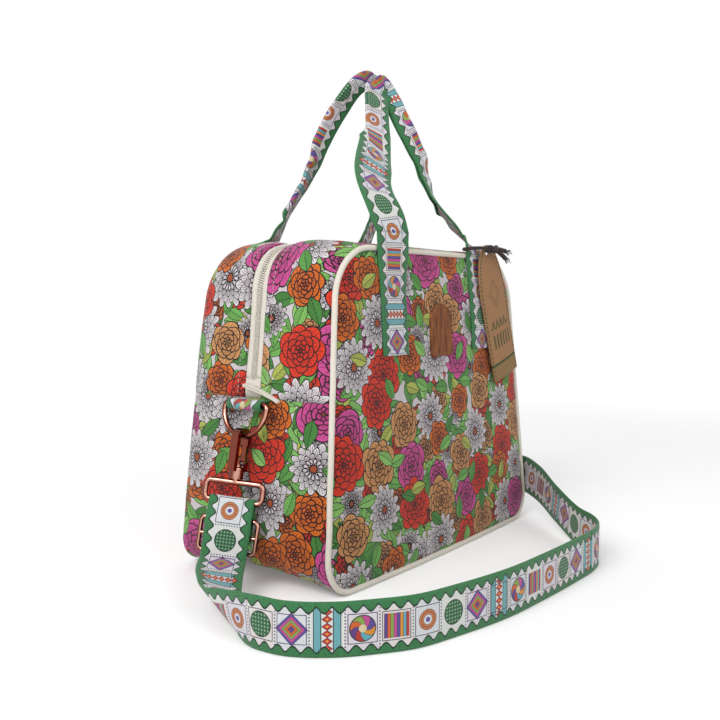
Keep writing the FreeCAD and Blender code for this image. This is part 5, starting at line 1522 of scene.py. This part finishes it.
# ---- floor, light and camera
stageForm = {"floor": 6.0, "floorGrey": 0.86, "lift": 0.16, "fadeFrom": 0.55, "fadeTo": 1.15}
floorMesh = bpy.data.meshes.new("floor")
half = stageForm["floor"]
floorMesh.from_pydata([(-half, -half, 0), (half, -half, 0), (half, half, 0), (-half, half, 0)], [], [(0, 1, 2, 3)])
floor = bpy.data.objects.new("floor", floorMesh)
scene.collection.objects.link(floor)
desk = Desk("paleFloor")
grey = stageForm["floorGrey"]
desk.set(Base_Color=(grey, grey, grey, 1.0), Roughness=0.9)
desk.shader.inputs["Specular IOR Level"].default_value = 0.1
rays = desk.add("ShaderNodeLightPath")
seen = desk.calc("MAXIMUM", desk.calc("MAXIMUM", rays.outputs["Is Camera Ray"], rays.outputs["Is Glossy Ray"]), rays.outputs["Is Transmission Ray"])
desk.shader.inputs["Emission Color"].default_value = (1.0, 1.0, 1.0, 1.0)
desk.put(desk.calc("MULTIPLY", seen, stageForm["lift"]), desk.shader.inputs["Emission Strength"])
# further out the floor goes over into the white of the background
away = desk.add("ShaderNodeMapRange", interpolation_type="SMOOTHSTEP")
away.inputs["From Min"].default_value = stageForm["fadeFrom"]
away.inputs["From Max"].default_value = stageForm["fadeTo"]
desk.put(desk.vec("LENGTH", desk.place()), away.inputs["Value"])
plain = desk.add("ShaderNodeEmission")
plain.inputs["Color"].default_value = (1.0, 1.0, 1.0, 1.0)
plain.inputs["Strength"].default_value = 1.0
both = desk.add("ShaderNodeMixShader")
desk.put(desk.calc("MULTIPLY", seen, away.outputs[0]), both.inputs[0])
desk.tree.links.new(desk.shader.outputs[0], both.inputs[1])
desk.tree.links.new(plain.outputs[0], both.inputs[2])
desk.tree.links.new(both.outputs[0], desk.out.inputs[0])
floorMesh.materials.append(desk.material)
floor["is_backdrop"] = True

world = bpy.data.worlds.new("studio")
scene.world = world
world.use_nodes = True
tree = world.node_tree
tree.nodes.clear()
worldOut = tree.nodes.new("ShaderNodeOutputWorld")
sky = tree.nodes.new("ShaderNodeBackground")
sky.inputs["Color"].default_value = (1.0, 1.0, 1.0, 1.0)
rays = tree.nodes.new("ShaderNodeLightPath")
skyLight = {"fill": 0.55, "seen": 1.0}
pick = None
for kind in ("Is Camera Ray", "Is Glossy Ray", "Is Transmission Ray"):
    if pick is None:
        pick = rays.outputs[kind]
    else:
        node = tree.nodes.new("ShaderNodeMath")
        node.operation = "MAXIMUM"
        tree.links.new(pick, node.inputs[0])
        tree.links.new(rays.outputs[kind], node.inputs[1])
        pick = node.outputs[0]
level = tree.nodes.new("ShaderNodeMapRange")
level.inputs["To Min"].default_value = skyLight["fill"]
level.inputs["To Max"].default_value = skyLight["seen"]
tree.links.new(pick, level.inputs["Value"])
tree.links.new(level.outputs[0], sky.inputs["Strength"])
tree.links.new(sky.outputs[0], worldOut.inputs[0])

lamps = {
    "key": {"at": (-1.35, -0.15, 1.15), "size": 0.9, "power": 17.0},
    "fill": {"at": (-0.2, -1.5, 0.9), "size": 1.2, "power": 6.5},
    "back": {"at": (0.6, 1.1, 1.2), "size": 1.0, "power": 5.0},
}
for name, lamp in lamps.items():
    data = bpy.data.lights.new(name, "AREA")
    data.size = lamp["size"]
    data.energy = lamp["power"]
    light = bpy.data.objects.new(name, data)
    light.location = lamp["at"]
    light.rotation_mode = "QUATERNION"
    light.rotation_quaternion = (Vector((0.0, 0.0, 0.13)) - Vector(lamp["at"])).to_track_quat("-Z", "Y")
    scene.collection.objects.link(light)

view = {"at": (-0.5776, -0.4149, 0.1986), "yaw": -53.49, "pitch": -3.85, "lens": 42.62}
camera = bpy.data.cameras.new("camera")
camera.sensor_width = 36.0
camera.lens = view["lens"]
camera.clip_start = 0.01
cameraObject = bpy.data.objects.new("camera", camera)
cameraObject.location = view["at"]
yaw, pitch = math.radians(view["yaw"]), math.radians(view["pitch"])
ahead = Vector((-math.sin(yaw) * math.cos(pitch), math.cos(yaw) * math.cos(pitch), math.sin(pitch)))
cameraObject.rotation_mode = "QUATERNION"
cameraObject.rotation_quaternion = ahead.to_track_quat("-Z", "Y")
scene.collection.objects.link(cameraObject)
scene.camera = cameraObject
print("stage: lit")

low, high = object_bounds()
